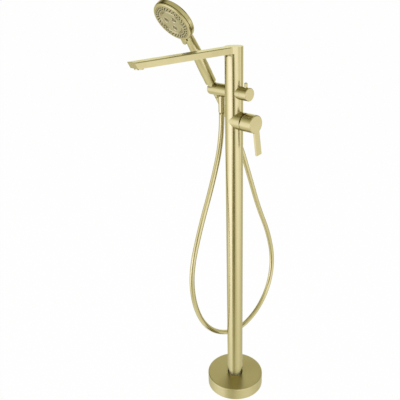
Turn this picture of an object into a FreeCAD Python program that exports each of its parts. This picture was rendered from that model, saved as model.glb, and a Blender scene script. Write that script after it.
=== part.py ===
"""Floor standing bath filler with a hand shower.

Origin: centre of the base on the floor, +Z up.
The spout points along -Y, the mixer and the diverter face +X, the hand shower's arm points along -X.
"""
import FreeCAD, Part
import Sketcher
import math
import os
import re

Vector = FreeCAD.Vector
Rotation = FreeCAD.Rotation
Placement = FreeCAD.Placement
X_AXIS = Vector(1, 0, 0)
Y_AXIS = Vector(0, 1, 0)
Z_AXIS = Vector(0, 0, 1)

doc = FreeCAD.newDocument("bath_filler")

# ---------------------------------------------------------------- driving dimensions (mm, degrees)

DIMENSIONS = [
    # fits
    ("seat_gap", 0.05, "radial clearance of pieces that are fixed in each other"),
    ("run_gap", 0.05, "radial clearance of a shaft that turns in its hole"),
    ("part_gap", 0.4, "gap between visible pieces that move past each other"),
    # base
    ("base_dia", 165, "outside of the cover on the floor"),
    ("base_height", 36, "height of the cover"),
    ("base_wall", 2.5, "wall of the cover"),
    ("base_round", 2.5, "rounding of the cover's top edge"),
    ("flange_dia", 130, "floor flange"),
    ("flange_thick", 8, "floor flange"),
    ("collar_dia", 62, "collar that clamps the column"),
    ("collar_top", 30, "height of the collar above the floor"),
    ("bolt_circle", 100, "pitch circle of the floor bolts"),
    ("bolt_hole_dia", 9, "holes for the floor bolts"),
    ("supply_hole_dia", 38, "opening for the supply hoses"),
    ("clamp_screw_dia", 6, "screws in the collar"),
    ("clamp_screw_height", 26, "height of the collar screws"),
    ("seal_thick", 2, "ring under the cover's top"),
    # inlets
    ("inlet_spacing", 19.8, "between hot and cold"),
    ("inlet_thread_dia", 14.95, "core of the inlet threads"),
    ("inlet_thread_length", 11.5, "depth of the inlet threads"),
    ("inlet_shoulder", 12, "height of the inlet block's shoulder"),
    ("inlet_block_height", 26, "height of the inlet block"),
    ("pipe_dia", 10, "supply and riser pipes"),
    ("pipe_wall", 1, "supply and riser pipes"),
    ("pipe_socket", 6, "depth of a pipe in its socket"),
    ("duct_dia", 7, "water passages in the bodies"),
    ("riser_place", 10, "mixed-water riser behind the column's axis"),
    # bodies in the column
    ("valve_below", 24, "valve body below the mixer's axis"),
    ("valve_above", 26, "valve body above the mixer's axis"),
    ("diverter_half", 19, "half the height of the diverter body"),
    # column
    ("column_dia", 45, "column tube"),
    ("column_wall", 2, "column tube"),
    ("total_height", 1008, "top of the spout above the floor"),
    ("head_height", 23, "height of the spout's round head"),
    ("head_spigot", 14, "length of the head's spigot in the column"),
    # spout
    ("spout_reach", 302, "column axis to the tip's top edge"),
    ("spout_width", 27, "width of the bar"),
    ("spout_root", 15.5, "thickness of the bar at the column"),
    ("spout_tip", 13.8, "thickness of the bar at the tip"),
    ("spout_undercut", 8, "set-back of the tip's lower edge"),
    ("spout_wall", 3, "wall around the waterway"),
    ("spout_blend", 12, "rounding between the bar's sides and its round head"),
    ("outlet_reach", 282, "column axis to the water outlet"),
    ("outlet_dia", 20, "outlet ring"),
    ("outlet_drop", 2.5, "outlet ring below the bar"),
    ("outlet_thread_dia", 16.6, "outlet housing in the bar"),
    ("outlet_wall", 1.6, "outlet housing"),
    ("jet_dia", 2, "holes of the outlet insert"),
    # mixer
    ("mixer_height", 830, "mixer axis above the floor"),
    ("mixer_dia", 45, "stub and handle"),
    ("mixer_stub", 36.5, "column axis to the end of the stub"),
    ("mixer_end", 73.5, "column axis to the end of the handle"),
    ("mixer_gap", 1.2, "parting line between stub and handle"),
    ("mixer_round", 2.5, "rounding of the handle's end"),
    ("handle_wall", 2.5, "wall of the handle's hub"),
    ("handle_boss_dia", 16, "boss over the stem"),
    ("cartridge_dia", 35, "mixing cartridge"),
    ("cartridge_seat", 6, "column axis to the cartridge seat"),
    ("cartridge_shoulder", 30, "column axis to the cartridge shoulder"),
    ("neck_dia", 25, "neck of the cartridge"),
    ("rotor_dia", 19, "turning disc in the cartridge's neck"),
    ("stem_side", 9, "square stem"),
    ("stem_length", 16, "stem beyond the stub"),
    ("rotor_pin_dia", 3, "pin that the stem tilts on"),
    ("handle_screw_dia", 5, "screw that holds the handle on the stem"),
    ("handle_screw_place", 12, "handle screw beyond the stub"),
    ("handle_plug_dia", 6, "plug over the handle screw"),
    ("lever_length", 81, "axis to the end of the lever"),
    ("lever_width", 17.5, "lever blade"),
    ("lever_thick", 5.5, "lever blade"),
    ("lever_angle", 9, "lever to the vertical as it stands"),
    ("lift_relief", 21, "slope of the handle's back, so that it can lift"),
    ("lift_start", 2, "mixer axis to the start of that slope"),
    # diverter
    ("diverter_height", 899, "axis of diverter and holder arm above the floor"),
    ("diverter_dia", 32, "diverter knob"),
    ("bonnet_end", 29.6, "column axis to the end of the bonnet"),
    ("diverter_end", 52, "column axis to the end of the knob"),
    ("diverter_round", 1.6, "rounding of the knob's end"),
    ("diverter_cap", 9, "knob before the end of the spindle"),
    ("spindle_dia", 8, "diverter spindle"),
    ("gland_wall", 4, "gland round the spindle"),
    ("gland_start", 13, "column axis to the bottom of the gland's hole"),
    ("diverter_pin_dia", 8, "finger pin"),
    ("diverter_pin_place", 38.9, "column axis to the finger pin"),
    ("diverter_pin_top", 27.5, "diverter axis to the top of the pin"),
    ("diverter_pin_round", 3, "rounding of the finger pin"),
    # holder arm
    ("arm_dia", 31, "holder arm"),
    ("arm_reach", 80.2, "column axis to the end of the arm"),
    ("arm_round", 1.2, "rounding of the arm's end"),
    ("holder_reach", 70, "column axis to the hand shower's axis"),
    ("holder_tilt", 30.5, "hand shower to the vertical"),
    ("holder_slot", 15, "slot that lets the hose through"),
    ("bush_wall", 1.2, "plastic bush in the holder"),
    ("bush_gap", 0.2, "cone nut to bush"),
    ("nipple_dia", 14, "nipple between column and arm"),
    ("nipple_bore", 8, "nipple between column and arm"),
    ("nipple_start", 13, "column axis to the nipple's inner end"),
    ("nipple_end", 28, "column axis to the nipple's outer end"),
    ("outlet_place", 43.4, "column axis to the hose outlet"),
    ("hose_thread_dia", 12, "nipple under the arm"),
    ("hose_thread_bore", 7.2, "nipple under the arm"),
    ("hose_thread_length", 10, "nipple below the arm"),
    ("hose_nut_dia", 16.7, "nut under the arm"),
    ("hose_nut_length", 14, "nut under the arm"),
    ("ferrule_dia", 16.2, "ferrule below the nut"),
    ("ferrule_length", 27, "ferrule below the nut"),
    ("tail_dia", 9.8, "hose tail"),
    ("tail_bore", 6.8, "hose tail"),
    ("washer_thick", 2, "washers in the hose nuts"),
    # cone nut, along the hand shower's axis from the arm's axis
    ("cone_top_dia", 21.6, "upper end of the cone nut"),
    ("cone_end_dia", 15, "lower end of the cone nut"),
    ("cone_above", 21, "cone nut above the arm's axis"),
    ("cone_below", 24, "cone nut below the arm's axis"),
    ("cone_shoulder", 6.4, "shoulder in the nut below the arm's axis"),
    ("sleeve_dia", 15, "hose sleeve under the cone nut"),
    ("sleeve_gap", 1.2, "ring groove between cone nut and sleeve"),
    ("sleeve_below", 47, "end of the sleeve below the arm's axis"),
    ("hose_dia", 14, "shower hose"),
    # hand shower, along its own axis from the arm's axis
    ("grip_start", 22, "lower end of the grip"),
    ("grip_start_dia", 28, "lower end of the grip"),
    ("grip_full_dia", 28.5, "fullest part of the grip"),
    ("grip_neck_dia", 22.8, "grip at the neck"),
    ("grip_neck", 150, "arm axis to the neck"),
    ("grip_bore", 19.8, "bore of the grip round the inlet"),
    ("inlet_grip", 33, "inlet in the grip"),
    ("inlet_thread", 16.4, "thread of the inlet in the cone nut"),
    ("inlet_bore", 8, "bore of the inlet"),
    ("head_place", 211.8, "arm axis to the middle of the head"),
    ("head_forward", 21.6, "hand shower's axis to the head's joint"),
    ("head_tilt", 6.5, "head to the grip"),
    ("head_dia", 104, "head shell"),
    ("head_edge", 11.5, "side wall of the head shell behind the joint"),
    ("head_slope", 24, "rim to the circle where the shell's back turns flat"),
    ("head_crown", "=head_dia / 2 - head_slope", "radius at which the shell's back turns flat"),
    ("head_shoulder", 16.8, "joint to that radius, along the axis"),
    ("head_depth", 18.2, "head shell behind the joint"),
    ("head_round", 4, "rounding of the shell's rim"),
    ("head_room", 8, "room behind the joint"),
    ("head_shell_wall", 3, "head shell"),
    ("selector_step", 0.7, "selector ring inside the shell's rim"),
    ("selector_dia", "=head_dia - 2 * selector_step", "selector ring"),
    ("selector_width", 6.8, "selector ring round the face"),
    ("selector_groove", 1.3, "open groove between shell and ring"),
    ("selector_rise", 4.5, "selector ring before the joint"),
    ("selector_tab_width", 12.5, "selector tab"),
    ("selector_tab_length", 12, "tab beyond the shell's rim"),
    ("selector_tab_reach", "=head_dia / 2 + selector_tab_length", "face axis to the end of the tab"),
    ("selector_tab_lift", 2.2, "tab's end before its root"),
    ("selector_tab_thick", 2.9, "selector tab"),
    ("face_dia", "=selector_dia - 2 * selector_width", "spray face"),
    ("face_band", 17, "band of nozzles outside the ring groove"),
    ("face_step", "=face_dia / 2 - face_band", "radius of the ring groove in the face"),
    ("nozzle_edge", 3.5, "rim of the face to the outer nozzle ring"),
    ("nozzle_pitch", 5.4, "from one nozzle ring to the next"),
    ("nozzle_ring_outer", "=face_dia / 2 - nozzle_edge", "radius of the outer nozzle ring"),
    ("nozzle_ring_inner", "=nozzle_ring_outer - nozzle_pitch", "radius of the second nozzle ring"),
    ("nozzle_count", 30, "nozzles in each ring"),
    ("nozzle_dia", 2.2, "nozzle at its root"),
    ("nozzle_rise", 1.4, "nozzle above the face"),
    ("lobe_edge", 12.5, "ring groove to the middle jets"),
    ("lobe_place", "=face_step - lobe_edge", "face axis to the middle jets"),
    ("lobe_dia", 14, "dish round a middle jet"),
    ("lobe_depth", 0.9, "dish round a middle jet"),
]

sheet = doc.addObject("Spreadsheet::Sheet", "Dims")
for row, (alias, value, remark) in enumerate(DIMENSIONS, start=1):
    sheet.set(f"A{row}", alias)
    sheet.set(f"B{row}", str(value))
    sheet.set(f"C{row}", remark)
    sheet.setAlias(f"B{row}", alias)
doc.recompute()


ALIASES = {alias for alias, value, remark in DIMENSIONS}


def spelled(expression):
    """Expression with every alias written as a reference to the sheet."""
    def named(found):
        word = found.group(0)
        return f"Dims.{word}" if word in ALIASES else word
    return re.sub("[a-z_]+", named, expression)


def number(expression):
    """Value of an expression of the sheet's aliases."""
    result = sheet.evalExpression(spelled(expression))
    return float(result.Value if hasattr(result, "Value") else result)


def bind(thing, prop, expression):
    thing.setExpression(prop, spelled(expression))


# ---------------------------------------------------------------- sketches and features

def origin_plane(body, role):
    return next(plane for plane in body.Origin.OriginFeatures if plane.Role == role)


def new_body(label, base=("0", "0", "0"), axis=None, angle="0"):
    """Body whose place and turn follow the sheet."""
    body = doc.addObject("PartDesign::Body", label)
    turn = Rotation(axis, number(angle)) if axis else Rotation()
    body.Placement = Placement(Vector(*[number(part) for part in base]), turn)
    for letter, part in zip("xyz", base):
        if part != "0":
            bind(body, f"Placement.Base.{letter}", part)
    if axis and angle not in ("0", "90", "-90"):
        bind(body, "Placement.Rotation.Angle", angle)
    return body


def new_sketch(body, role, offset=("0", "0", "0"), tilt="0"):
    """Sketch on an origin plane, moved in that plane's own frame and tilted about its X."""
    sketch = body.newObject("Sketcher::SketchObject", body.Label + "_sketch")
    sketch.AttachmentSupport = (origin_plane(body, role), "")
    sketch.MapMode = "FlatFace"
    shift = Vector(*[number(part) for part in offset])
    sketch.AttachmentOffset = Placement(shift, Rotation(X_AXIS, number(tilt)))
    for letter, part in zip("xyz", offset):
        if part != "0":
            bind(sketch, f"AttachmentOffset.Base.{letter}", part)
    if tilt != "0":
        bind(sketch, "AttachmentOffset.Rotation.Angle", tilt)
    return sketch


def pin_point(sketch, geometry, position, place):
    """Hold a point of a sketch at a place given by two expressions."""
    for kind, axis_id, part in (("DistanceX", -2, place[0]), ("DistanceY", -1, place[1])):
        if part == "0":
            sketch.addConstraint(Sketcher.Constraint("PointOnObject", geometry, position, axis_id))
            continue
        index = sketch.addConstraint(
            Sketcher.Constraint(kind, -1, 1, geometry, position, number(part)))
        bind(sketch, f"Constraints[{index}]", part)


def draw_outline(sketch, corners):
    """Closed outline of straight edges through corners given as expressions."""
    spots = [Vector(number(u), number(v), 0) for u, v in corners]
    first = sketch.GeometryCount
    count = len(spots)
    for index in range(count):
        sketch.addGeometry(Part.LineSegment(spots[index], spots[(index + 1) % count]), False)
    for index in range(count):
        following = first + (index + 1) % count
        sketch.addConstraint(Sketcher.Constraint("Coincident", first + index, 2, following, 1))
    for index, place in enumerate(corners):
        pin_point(sketch, first + index, 1, place)


def draw_circle(sketch, centre, radius):
    """Circle with its centre and radius given as expressions."""
    spot = Vector(number(centre[0]), number(centre[1]), 0)
    geometry = sketch.addGeometry(Part.Circle(spot, Z_AXIS, number(radius)), False)
    pin_point(sketch, geometry, 3, centre)
    index = sketch.addConstraint(Sketcher.Constraint("Radius", geometry, number(radius)))
    bind(sketch, f"Constraints[{index}]", radius)


def feature(body, kind, sketch):
    item = body.newObject(kind, body.Label + "_" + kind.split("::")[1].lower())
    item.Profile = sketch
    return item


def volume(body):
    doc.recompute()
    return body.Shape.Volume


def turn(body, corners, cut=False, offset=("0", "0", "0"), tilt="0", role="XZ_Plane"):
    """Revolve an outline of (radius, height) corners about the sketch's vertical axis."""
    before = volume(body) if cut else 0
    sketch = new_sketch(body, role, offset, tilt)
    draw_outline(sketch, corners)
    item = feature(body, "PartDesign::Groove" if cut else "PartDesign::Revolution", sketch)
    item.ReferenceAxis = (sketch, ["V_Axis"])
    item.Angle = 360
    if cut and volume(body) >= before:
        raise ValueError(body.Label + ": a groove removes nothing")
    return item


def pad(body, draw, length, role="XY_Plane", offset=("0", "0", "0"), tilt="0", both=False):
    """Extrude a sketch along the plane's normal, or half to each side."""
    sketch = new_sketch(body, role, offset, tilt)
    draw(sketch)
    item = feature(body, "PartDesign::Pad", sketch)
    bind(item, "Length", length)
    item.Midplane = both
    return item


def pocket(body, draw, length, role="XY_Plane", offset=("0", "0", "0"), tilt="0", both=False,
           forward=False):
    """Cut a sketch against the plane's normal, along it (forward) or half to each side (both)."""
    before = volume(body)
    sketch = new_sketch(body, role, offset, tilt)
    draw(sketch)
    item = feature(body, "PartDesign::Pocket", sketch)
    bind(item, "Length", length)
    item.Midplane = both
    item.Reversed = forward
    if volume(body) >= before:
        raise ValueError(body.Label + ": a pocket removes nothing")
    return item


def circle(radius, centre=("0", "0")):
    return lambda sketch: draw_circle(sketch, centre, radius)


def outline(corners):
    return lambda sketch: draw_outline(sketch, corners)


def around(body, item, count, role="Z_Axis"):
    """Repeat a feature evenly about an origin axis of its body."""
    pattern = body.newObject("PartDesign::PolarPattern", body.Label + "_pattern")
    pattern.Originals = [item]
    pattern.Axis = (origin_plane(body, role), [""])
    pattern.Angle = 360
    if count in ALIASES:
        bind(pattern, "Occurrences", count)
    else:
        pattern.Occurrences = int(count)
    body.Tip = pattern
    return pattern


def round_edges(body, radius, chosen):
    """Fillet the edges of the tip that a test picks, in the body's own frame."""
    doc.recompute()
    base = body.Tip
    names = [f"Edge{index}" for index, edge in enumerate(base.Shape.Edges, start=1) if chosen(edge)]
    if not names:
        raise ValueError(body.Label + ": no edge to round")
    fillet = body.newObject("PartDesign::Fillet", body.Label + "_fillet")
    fillet.Base = (base, names)
    bind(fillet, "Radius", radius)
    doc.recompute()
    return fillet


def ring_edge(radius, height):
    """Test for a whole circle of this radius at this height of the body's own axis."""
    wanted_radius = number(radius)
    wanted_height = number(height)

    def test(edge):
        curve = edge.Curve
        if not isinstance(curve, Part.Circle):
            return False
        return abs(curve.Radius - wanted_radius) < 0.01 and abs(curve.Center.z - wanted_height) < 0.01
    return test


def tube_corners(outer, inner, low, high):
    return [(inner, low), (outer, low), (outer, high), (inner, high)]


def turned(label, corners, base=("0", "0", "0"), axis=None, angle="0"):
    """Body that is one revolved outline."""
    body = new_body(label, base, axis, angle)
    turn(body, corners)
    return body


def group(label, pieces):
    """Separate equal solids that share a node."""
    joined = doc.addObject("Part::Compound", label)
    joined.Links = pieces
    return joined


MIXER_BASE = ("0", "0", "mixer_height")
DIVERTER_BASE = ("0", "0", "diverter_height")
SHOWER_BASE = ("-holder_reach", "0", "diverter_height")


# ---------------------------------------------------------------- base

def make_floor_flange():
    body = new_body("floor_flange")
    bore = "column_dia / 2 + seat_gap"
    turn(body, [("supply_hole_dia / 2", "0"), ("flange_dia / 2", "0"), ("flange_dia / 2", "flange_thick"),
                ("collar_dia / 2", "flange_thick"), ("collar_dia / 2", "collar_top"),
                (bore, "collar_top"), (bore, "flange_thick"), ("supply_hole_dia / 2", "flange_thick")])
    bolt = pocket(body, circle("bolt_hole_dia / 2", ("bolt_circle / 2", "0")), "flange_thick",
                  forward=True)
    around(body, bolt, "4")
    screw = pocket(body, circle("clamp_screw_dia / 2", ("0", "clamp_screw_height")), "collar_dia / 2",
                   role="XZ_Plane", forward=True)
    around(body, screw, "3")
    return [body]


def make_clamp_screws():
    screws = []
    for index in range(3):
        screw = doc.addObject("Part::Cylinder", f"clamp_screw_{index + 1}")
        bind(screw, "Radius", "clamp_screw_dia / 2 - seat_gap")
        bind(screw, "Height", "collar_dia / 2 - column_dia / 2 - 0.5")
        angle = 120 * index - 90
        outward = Vector(math.cos(math.radians(angle)), math.sin(math.radians(angle)), 0)
        start = outward * number("column_dia / 2")
        start.z = number("clamp_screw_height")
        screw.Placement = Placement(start, Rotation(Z_AXIS, outward))
        bind(screw, "Placement.Base.x", f"column_dia / 2 * {outward.x:.9f}")
        bind(screw, "Placement.Base.y", f"column_dia / 2 * {outward.y:.9f}")
        bind(screw, "Placement.Base.z", "clamp_screw_height")
        screws.append(screw)
    return [group("clamp_screws", screws)]


def make_base_cover():
    body = new_body("base_cover")
    hole = "column_dia / 2 + part_gap"
    turn(body, [("base_dia / 2 - base_wall", "0"), ("base_dia / 2", "0"), ("base_dia / 2", "base_height"),
                (hole, "base_height"), (hole, "base_height - base_wall"),
                ("base_dia / 2 - base_wall", "base_height - base_wall")])
    round_edges(body, "base_round", ring_edge("base_dia / 2", "base_height"))
    seal = turned("cover_seal", tube_corners("column_dia / 2 + 3", "column_dia / 2 + seat_gap",
                                             "base_height - base_wall - seal_thick",
                                             "base_height - base_wall"))
    return [body, seal]


def make_inlet_block():
    body = new_body("inlet_block")
    top = "flange_thick + inlet_block_height"
    shoulder = "flange_thick + inlet_shoulder"
    turn(body, [("0", "flange_thick"), ("column_dia / 2", "flange_thick"), ("column_dia / 2", shoulder),
                ("column_dia / 2 - column_wall - seat_gap", shoulder),
                ("column_dia / 2 - column_wall - seat_gap", top), ("0", top)])
    for side in ("-inlet_spacing / 2", "inlet_spacing / 2"):
        place = ("0", side)
        pocket(body, circle("inlet_thread_dia / 2", place), "inlet_thread_length",
               offset=("0", "0", "flange_thick"), forward=True)
        pocket(body, circle("pipe_dia / 2 - pipe_wall", place), "inlet_block_height",
               offset=("0", "0", "flange_thick"), forward=True)
        pocket(body, circle("pipe_dia / 2 + seat_gap", place), "pipe_socket", offset=("0", "0", top))
    return [body]


# ---------------------------------------------------------------- column and pipes

COLUMN_FOOT = "flange_thick + inlet_shoulder"
COLUMN_TOP = "total_height - head_height"
COLUMN_BORE = "column_dia / 2 - column_wall"
VALVE_LOW = "mixer_height - valve_below"
VALVE_HIGH = "mixer_height + valve_above"
DIVERTER_LOW = "diverter_height - diverter_half"
DIVERTER_HIGH = "diverter_height + diverter_half"


def make_column():
    body = new_body("column_tube")
    length = f"{COLUMN_TOP} - ( {COLUMN_FOOT} )"
    pad(body, circle("column_dia / 2"), length, offset=("0", "0", COLUMN_FOOT))
    pad(body, circle("mixer_dia / 2", ("0", "mixer_height")), "mixer_stub", role="YZ_Plane")
    pocket(body, circle(COLUMN_BORE), length, offset=("0", "0", COLUMN_FOOT), forward=True)
    pocket(body, circle("mixer_dia / 2 - column_wall", ("0", "mixer_height")), "mixer_stub",
           role="YZ_Plane", forward=True)
    pocket(body, circle("spindle_dia / 2 + gland_wall + 4 * seat_gap", ("0", "diverter_height")),
           "column_dia / 2", role="YZ_Plane", forward=True)
    pocket(body, circle("nipple_dia / 2 + seat_gap", ("0", "diverter_height")), "column_dia / 2",
           role="YZ_Plane")
    return [body]


def pipe(label, x, y, low, high):
    return turned(label, tube_corners("pipe_dia / 2", "pipe_dia / 2 - pipe_wall", low, high), (x, y, "0"))


def make_pipes():
    block_top = "flange_thick + inlet_block_height - pipe_socket"
    pipes = []
    for label, side in (("cold_pipe", "-inlet_spacing / 2"), ("hot_pipe", "inlet_spacing / 2")):
        pipes.append(pipe(label, "0", side, block_top, f"{VALVE_LOW} + pipe_socket"))
    pipes.append(pipe("mixed_riser", "- riser_place", "0", f"{VALVE_HIGH} - pipe_socket",
                      f"{DIVERTER_LOW} + pipe_socket"))
    pipes.append(pipe("spout_riser", "0", "0", f"{DIVERTER_HIGH} - pipe_socket",
                      f"{COLUMN_TOP} - head_spigot + pipe_socket"))
    return pipes


def make_valve_body():
    body = new_body("valve_body")
    reach = f"{COLUMN_BORE} - seat_gap"
    pad(body, circle(reach), f"{VALVE_HIGH} - ( {VALVE_LOW} )", offset=("0", "0", VALVE_LOW))
    pocket(body, circle("cartridge_dia / 2 + seat_gap", ("0", "mixer_height")), "column_dia / 2",
           role="YZ_Plane", offset=("0", "0", "cartridge_seat"), forward=True)
    for side in ("-inlet_spacing / 2", "inlet_spacing / 2"):
        pocket(body, circle("pipe_dia / 2 + seat_gap", ("0", side)), "pipe_socket",
               offset=("0", "0", VALVE_LOW), forward=True)
        pocket(body, circle("duct_dia / 2 - 0.5", ("0", side)), "valve_below - 2",
               offset=("0", "0", VALVE_LOW), forward=True)
        pocket(body, circle("duct_dia / 2 - 0.5", (side, "mixer_height - 5")), "cartridge_seat",
               role="YZ_Plane", forward=True)
    pocket(body, circle("pipe_dia / 2 + seat_gap", ("- riser_place", "0")), "pipe_socket",
           offset=("0", "0", VALVE_HIGH))
    pocket(body, circle("duct_dia / 2", ("- riser_place", "0")), "valve_above - 4",
           offset=("0", "0", VALVE_HIGH))
    pocket(body, circle("duct_dia / 2", ("0", "mixer_height + duct_dia")), "riser_place + cartridge_seat",
           role="YZ_Plane", offset=("0", "0", "cartridge_seat"))
    return [body]


def make_diverter_body():
    body = new_body("diverter_body")
    pad(body, circle(f"{COLUMN_BORE} - seat_gap"), f"{DIVERTER_HIGH} - ( {DIVERTER_LOW} )",
        offset=("0", "0", DIVERTER_LOW))
    pocket(body, circle("spindle_dia / 2 + gland_wall + seat_gap", ("0", "diverter_height")),
           "column_dia / 2", role="YZ_Plane", offset=("0", "0", "gland_start"), forward=True)
    pocket(body, circle("spindle_dia / 2 + run_gap", ("0", "diverter_height")), "gland_start + 7",
           role="YZ_Plane", offset=("0", "0", "-6"), forward=True)
    pocket(body, circle("nipple_dia / 2 + seat_gap", ("0", "diverter_height")), "column_dia / 2",
           role="YZ_Plane", offset=("0", "0", "- nipple_start"))
    pocket(body, circle("nipple_bore / 2", ("0", "diverter_height")), "nipple_start - 3",
           role="YZ_Plane", offset=("0", "0", "-5"))
    for x, height, forward in (("- riser_place", DIVERTER_LOW, True), ("0", DIVERTER_HIGH, False)):
        pocket(body, circle("pipe_dia / 2 + seat_gap", (x, "0")), "pipe_socket",
               offset=("0", "0", height), forward=forward)
        pocket(body, circle("duct_dia / 2", (x, "0")), "diverter_half", offset=("0", "0", height),
               forward=forward)
    return [body]


# ---------------------------------------------------------------- spout

def make_spout():
    body = new_body("spout")
    top = "total_height"
    side = [("0", top), ("-spout_reach", top), ("spout_undercut - spout_reach", f"{top} - spout_tip"),
            ("-column_dia / 4", f"{top} - spout_root"), ("0", f"{top} - spout_root")]
    pad(body, outline(side), "spout_width", role="YZ_Plane", both=True)
    pad(body, circle("column_dia / 2"), "head_height", offset=("0", "0", COLUMN_TOP))

    def head_joint(edge):
        box = edge.BoundBox
        beside = abs(abs(box.XMin) - number("spout_width / 2")) < 0.01 and box.XLength < 0.01
        return beside and box.YLength < 0.01 and box.ZLength > number("spout_root / 2") and box.YMin < 0
    round_edges(body, "spout_blend", head_joint)
    pad(body, circle(f"{COLUMN_BORE} - seat_gap"), "head_spigot",
        offset=("0", "0", f"{COLUMN_TOP} - head_spigot"))
    channel = [("0", f"{top} - spout_wall"), ("spout_wall * 3 - spout_reach", f"{top} - spout_wall"),
               ("spout_wall * 3 - spout_reach", f"{top} - spout_tip + spout_wall"),
               ("0", f"{top} - spout_root + spout_wall")]
    pocket(body, outline(channel), "spout_width - 2 * spout_wall", role="YZ_Plane", both=True)
    pocket(body, circle("pipe_dia / 2 - pipe_wall"), "head_height + head_spigot - spout_wall",
           offset=("0", "0", f"{COLUMN_TOP} - head_spigot"), forward=True)
    pocket(body, circle("pipe_dia / 2 + seat_gap"), "pipe_socket",
           offset=("0", "0", f"{COLUMN_TOP} - head_spigot"), forward=True)
    pocket(body, circle("outlet_thread_dia / 2 + seat_gap", ("0", "-outlet_reach")), "spout_tip - spout_wall",
           offset=("0", "0", f"{top} - spout_tip - 1"), forward=True)
    seal = turned("spout_seal", tube_corners(f"{COLUMN_BORE} - 0.4", f"{COLUMN_BORE} - 2", "0", "1.6"),
                  ("0", "0", f"{COLUMN_TOP} - head_spigot - 1.7"))
    return [body, seal]


def make_outlet():
    base = ("0", "-outlet_reach", "total_height - spout_tip - 0.15")
    bore = "outlet_thread_dia / 2 - outlet_wall"
    housing = turned("outlet_housing",
                     [(bore, "0"), (bore, "-outlet_drop"), ("outlet_dia / 2", "-outlet_drop"),
                      ("outlet_dia / 2", "-0.1"), ("outlet_thread_dia / 2", "-0.1"),
                      ("outlet_thread_dia / 2", "6"), (bore, "6")], base)
    insert = new_body("outlet_insert", base)
    turn(insert, [("0", "-1.2"), (f"{bore} - seat_gap", "-1.2"), (f"{bore} - seat_gap", "5"), ("0", "5")])
    hole = pocket(insert, circle("jet_dia / 2", ("outlet_thread_dia / 4", "0")), "8",
                  offset=("0", "0", "-2"), forward=True)
    around(insert, hole, "8")
    washer = turned("outlet_washer", tube_corners("outlet_thread_dia / 2", bore, "6.05", "7.4"), base)
    return [housing, insert, washer]


# ---------------------------------------------------------------- mixer

def make_cartridge():
    shoulder = "cartridge_shoulder"
    seat = "cartridge_seat + 1"
    neck_end = "mixer_stub - 0.3"
    bore = "rotor_dia / 2 + run_gap"
    cartridge = turned("mixer_cartridge",
                       [("0", seat), ("cartridge_dia / 2", seat), ("cartridge_dia / 2", shoulder),
                        ("neck_dia / 2", shoulder), ("neck_dia / 2", neck_end), (bore, neck_end),
                        (bore, "cartridge_shoulder - 1.5"), ("0", "cartridge_shoulder - 1.5")],
                       MIXER_BASE, Y_AXIS, "90")
    gasket = new_body("cartridge_gasket", MIXER_BASE, Y_AXIS, "90")
    turn(gasket, [("0", "cartridge_seat"), ("cartridge_dia / 2 - 1", "cartridge_seat"),
                  ("cartridge_dia / 2 - 1", seat), ("0", seat)])
    port = pocket(gasket, circle("3.5", ("8.5", "0")), "1", offset=("0", "0", "cartridge_seat"),
                  forward=True)
    around(gasket, port, "3")
    nut = new_body("cartridge_nut", MIXER_BASE, Y_AXIS, "90")
    turn(nut, tube_corners("mixer_dia / 2 - column_wall - seat_gap", "neck_dia / 2 + seat_gap",
                           "cartridge_shoulder + 0.05", "mixer_stub - 1"))
    notch = pocket(nut, circle("2", ("neck_dia / 2 + 4.5", "0")), "2.5",
                   offset=("0", "0", "mixer_stub - 1"))
    around(nut, notch, "4")
    return [cartridge, gasket, nut]


STEM_PIVOT = "mixer_stub + 0.5"


def make_rotor():
    """Disc in the cartridge's neck with two ears that carry the stem's pin."""
    body = new_body("cartridge_rotor", MIXER_BASE, Y_AXIS, "90")
    disc_top = "cartridge_shoulder + 2"
    turn(body, [("0", "cartridge_shoulder - 1.2"), ("rotor_dia / 2", "cartridge_shoulder - 1.2"),
                ("rotor_dia / 2", disc_top), ("0", disc_top)])
    ear_in = "stem_side / 2 + 0.15"
    ear_out = "stem_side / 2 + 3.3"
    ear_top = f"{STEM_PIVOT} + 2.6"
    for inner, outer in ((ear_in, ear_out), (f"- ( {ear_out} )", f"- ( {ear_in} )")):
        ear = [(inner, disc_top), (outer, disc_top), (outer, ear_top), (inner, ear_top)]
        pad(body, outline(ear), "stem_side - 1", role="YZ_Plane", both=True)
    pocket(body, circle("rotor_pin_dia / 2 + seat_gap", ("0", STEM_PIVOT)), "3 * stem_side",
           role="XZ_Plane", both=True)
    body.Placement = mixer_turned(body.Placement)
    pin = new_body("rotor_pin", MIXER_BASE, Y_AXIS, "90")
    pad(pin, circle("rotor_pin_dia / 2", ("0", STEM_PIVOT)), f"2 * ( {ear_out} )", role="XZ_Plane", both=True)
    pin.Placement = mixer_turned(pin.Placement)
    return [body, pin]


def mixer_turned(placement):
    """The mixer's own frame, turned about its axis to the lever's angle."""
    spin = Placement(Vector(), Rotation(X_AXIS, number("lever_angle")), Vector(0, 0, number("mixer_height")))
    return spin.multiply(placement)


def make_stem():
    body = new_body("cartridge_stem", MIXER_BASE, Y_AXIS, "90")
    half = "stem_side / 2"
    end = "mixer_stub + stem_length"
    bar = [(f"- {half}", STEM_PIVOT), (half, STEM_PIVOT), (half, end), (f"- {half}", end)]
    pad(body, outline(bar), "stem_side", role="XZ_Plane", both=True)
    pad(body, circle(half, ("0", STEM_PIVOT)), "stem_side", role="XZ_Plane", both=True)
    pocket(body, circle("rotor_pin_dia / 2 + run_gap", ("0", STEM_PIVOT)), "2 * stem_side",
           role="XZ_Plane", both=True)
    body.Placement = mixer_turned(body.Placement)
    return [body]


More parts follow.
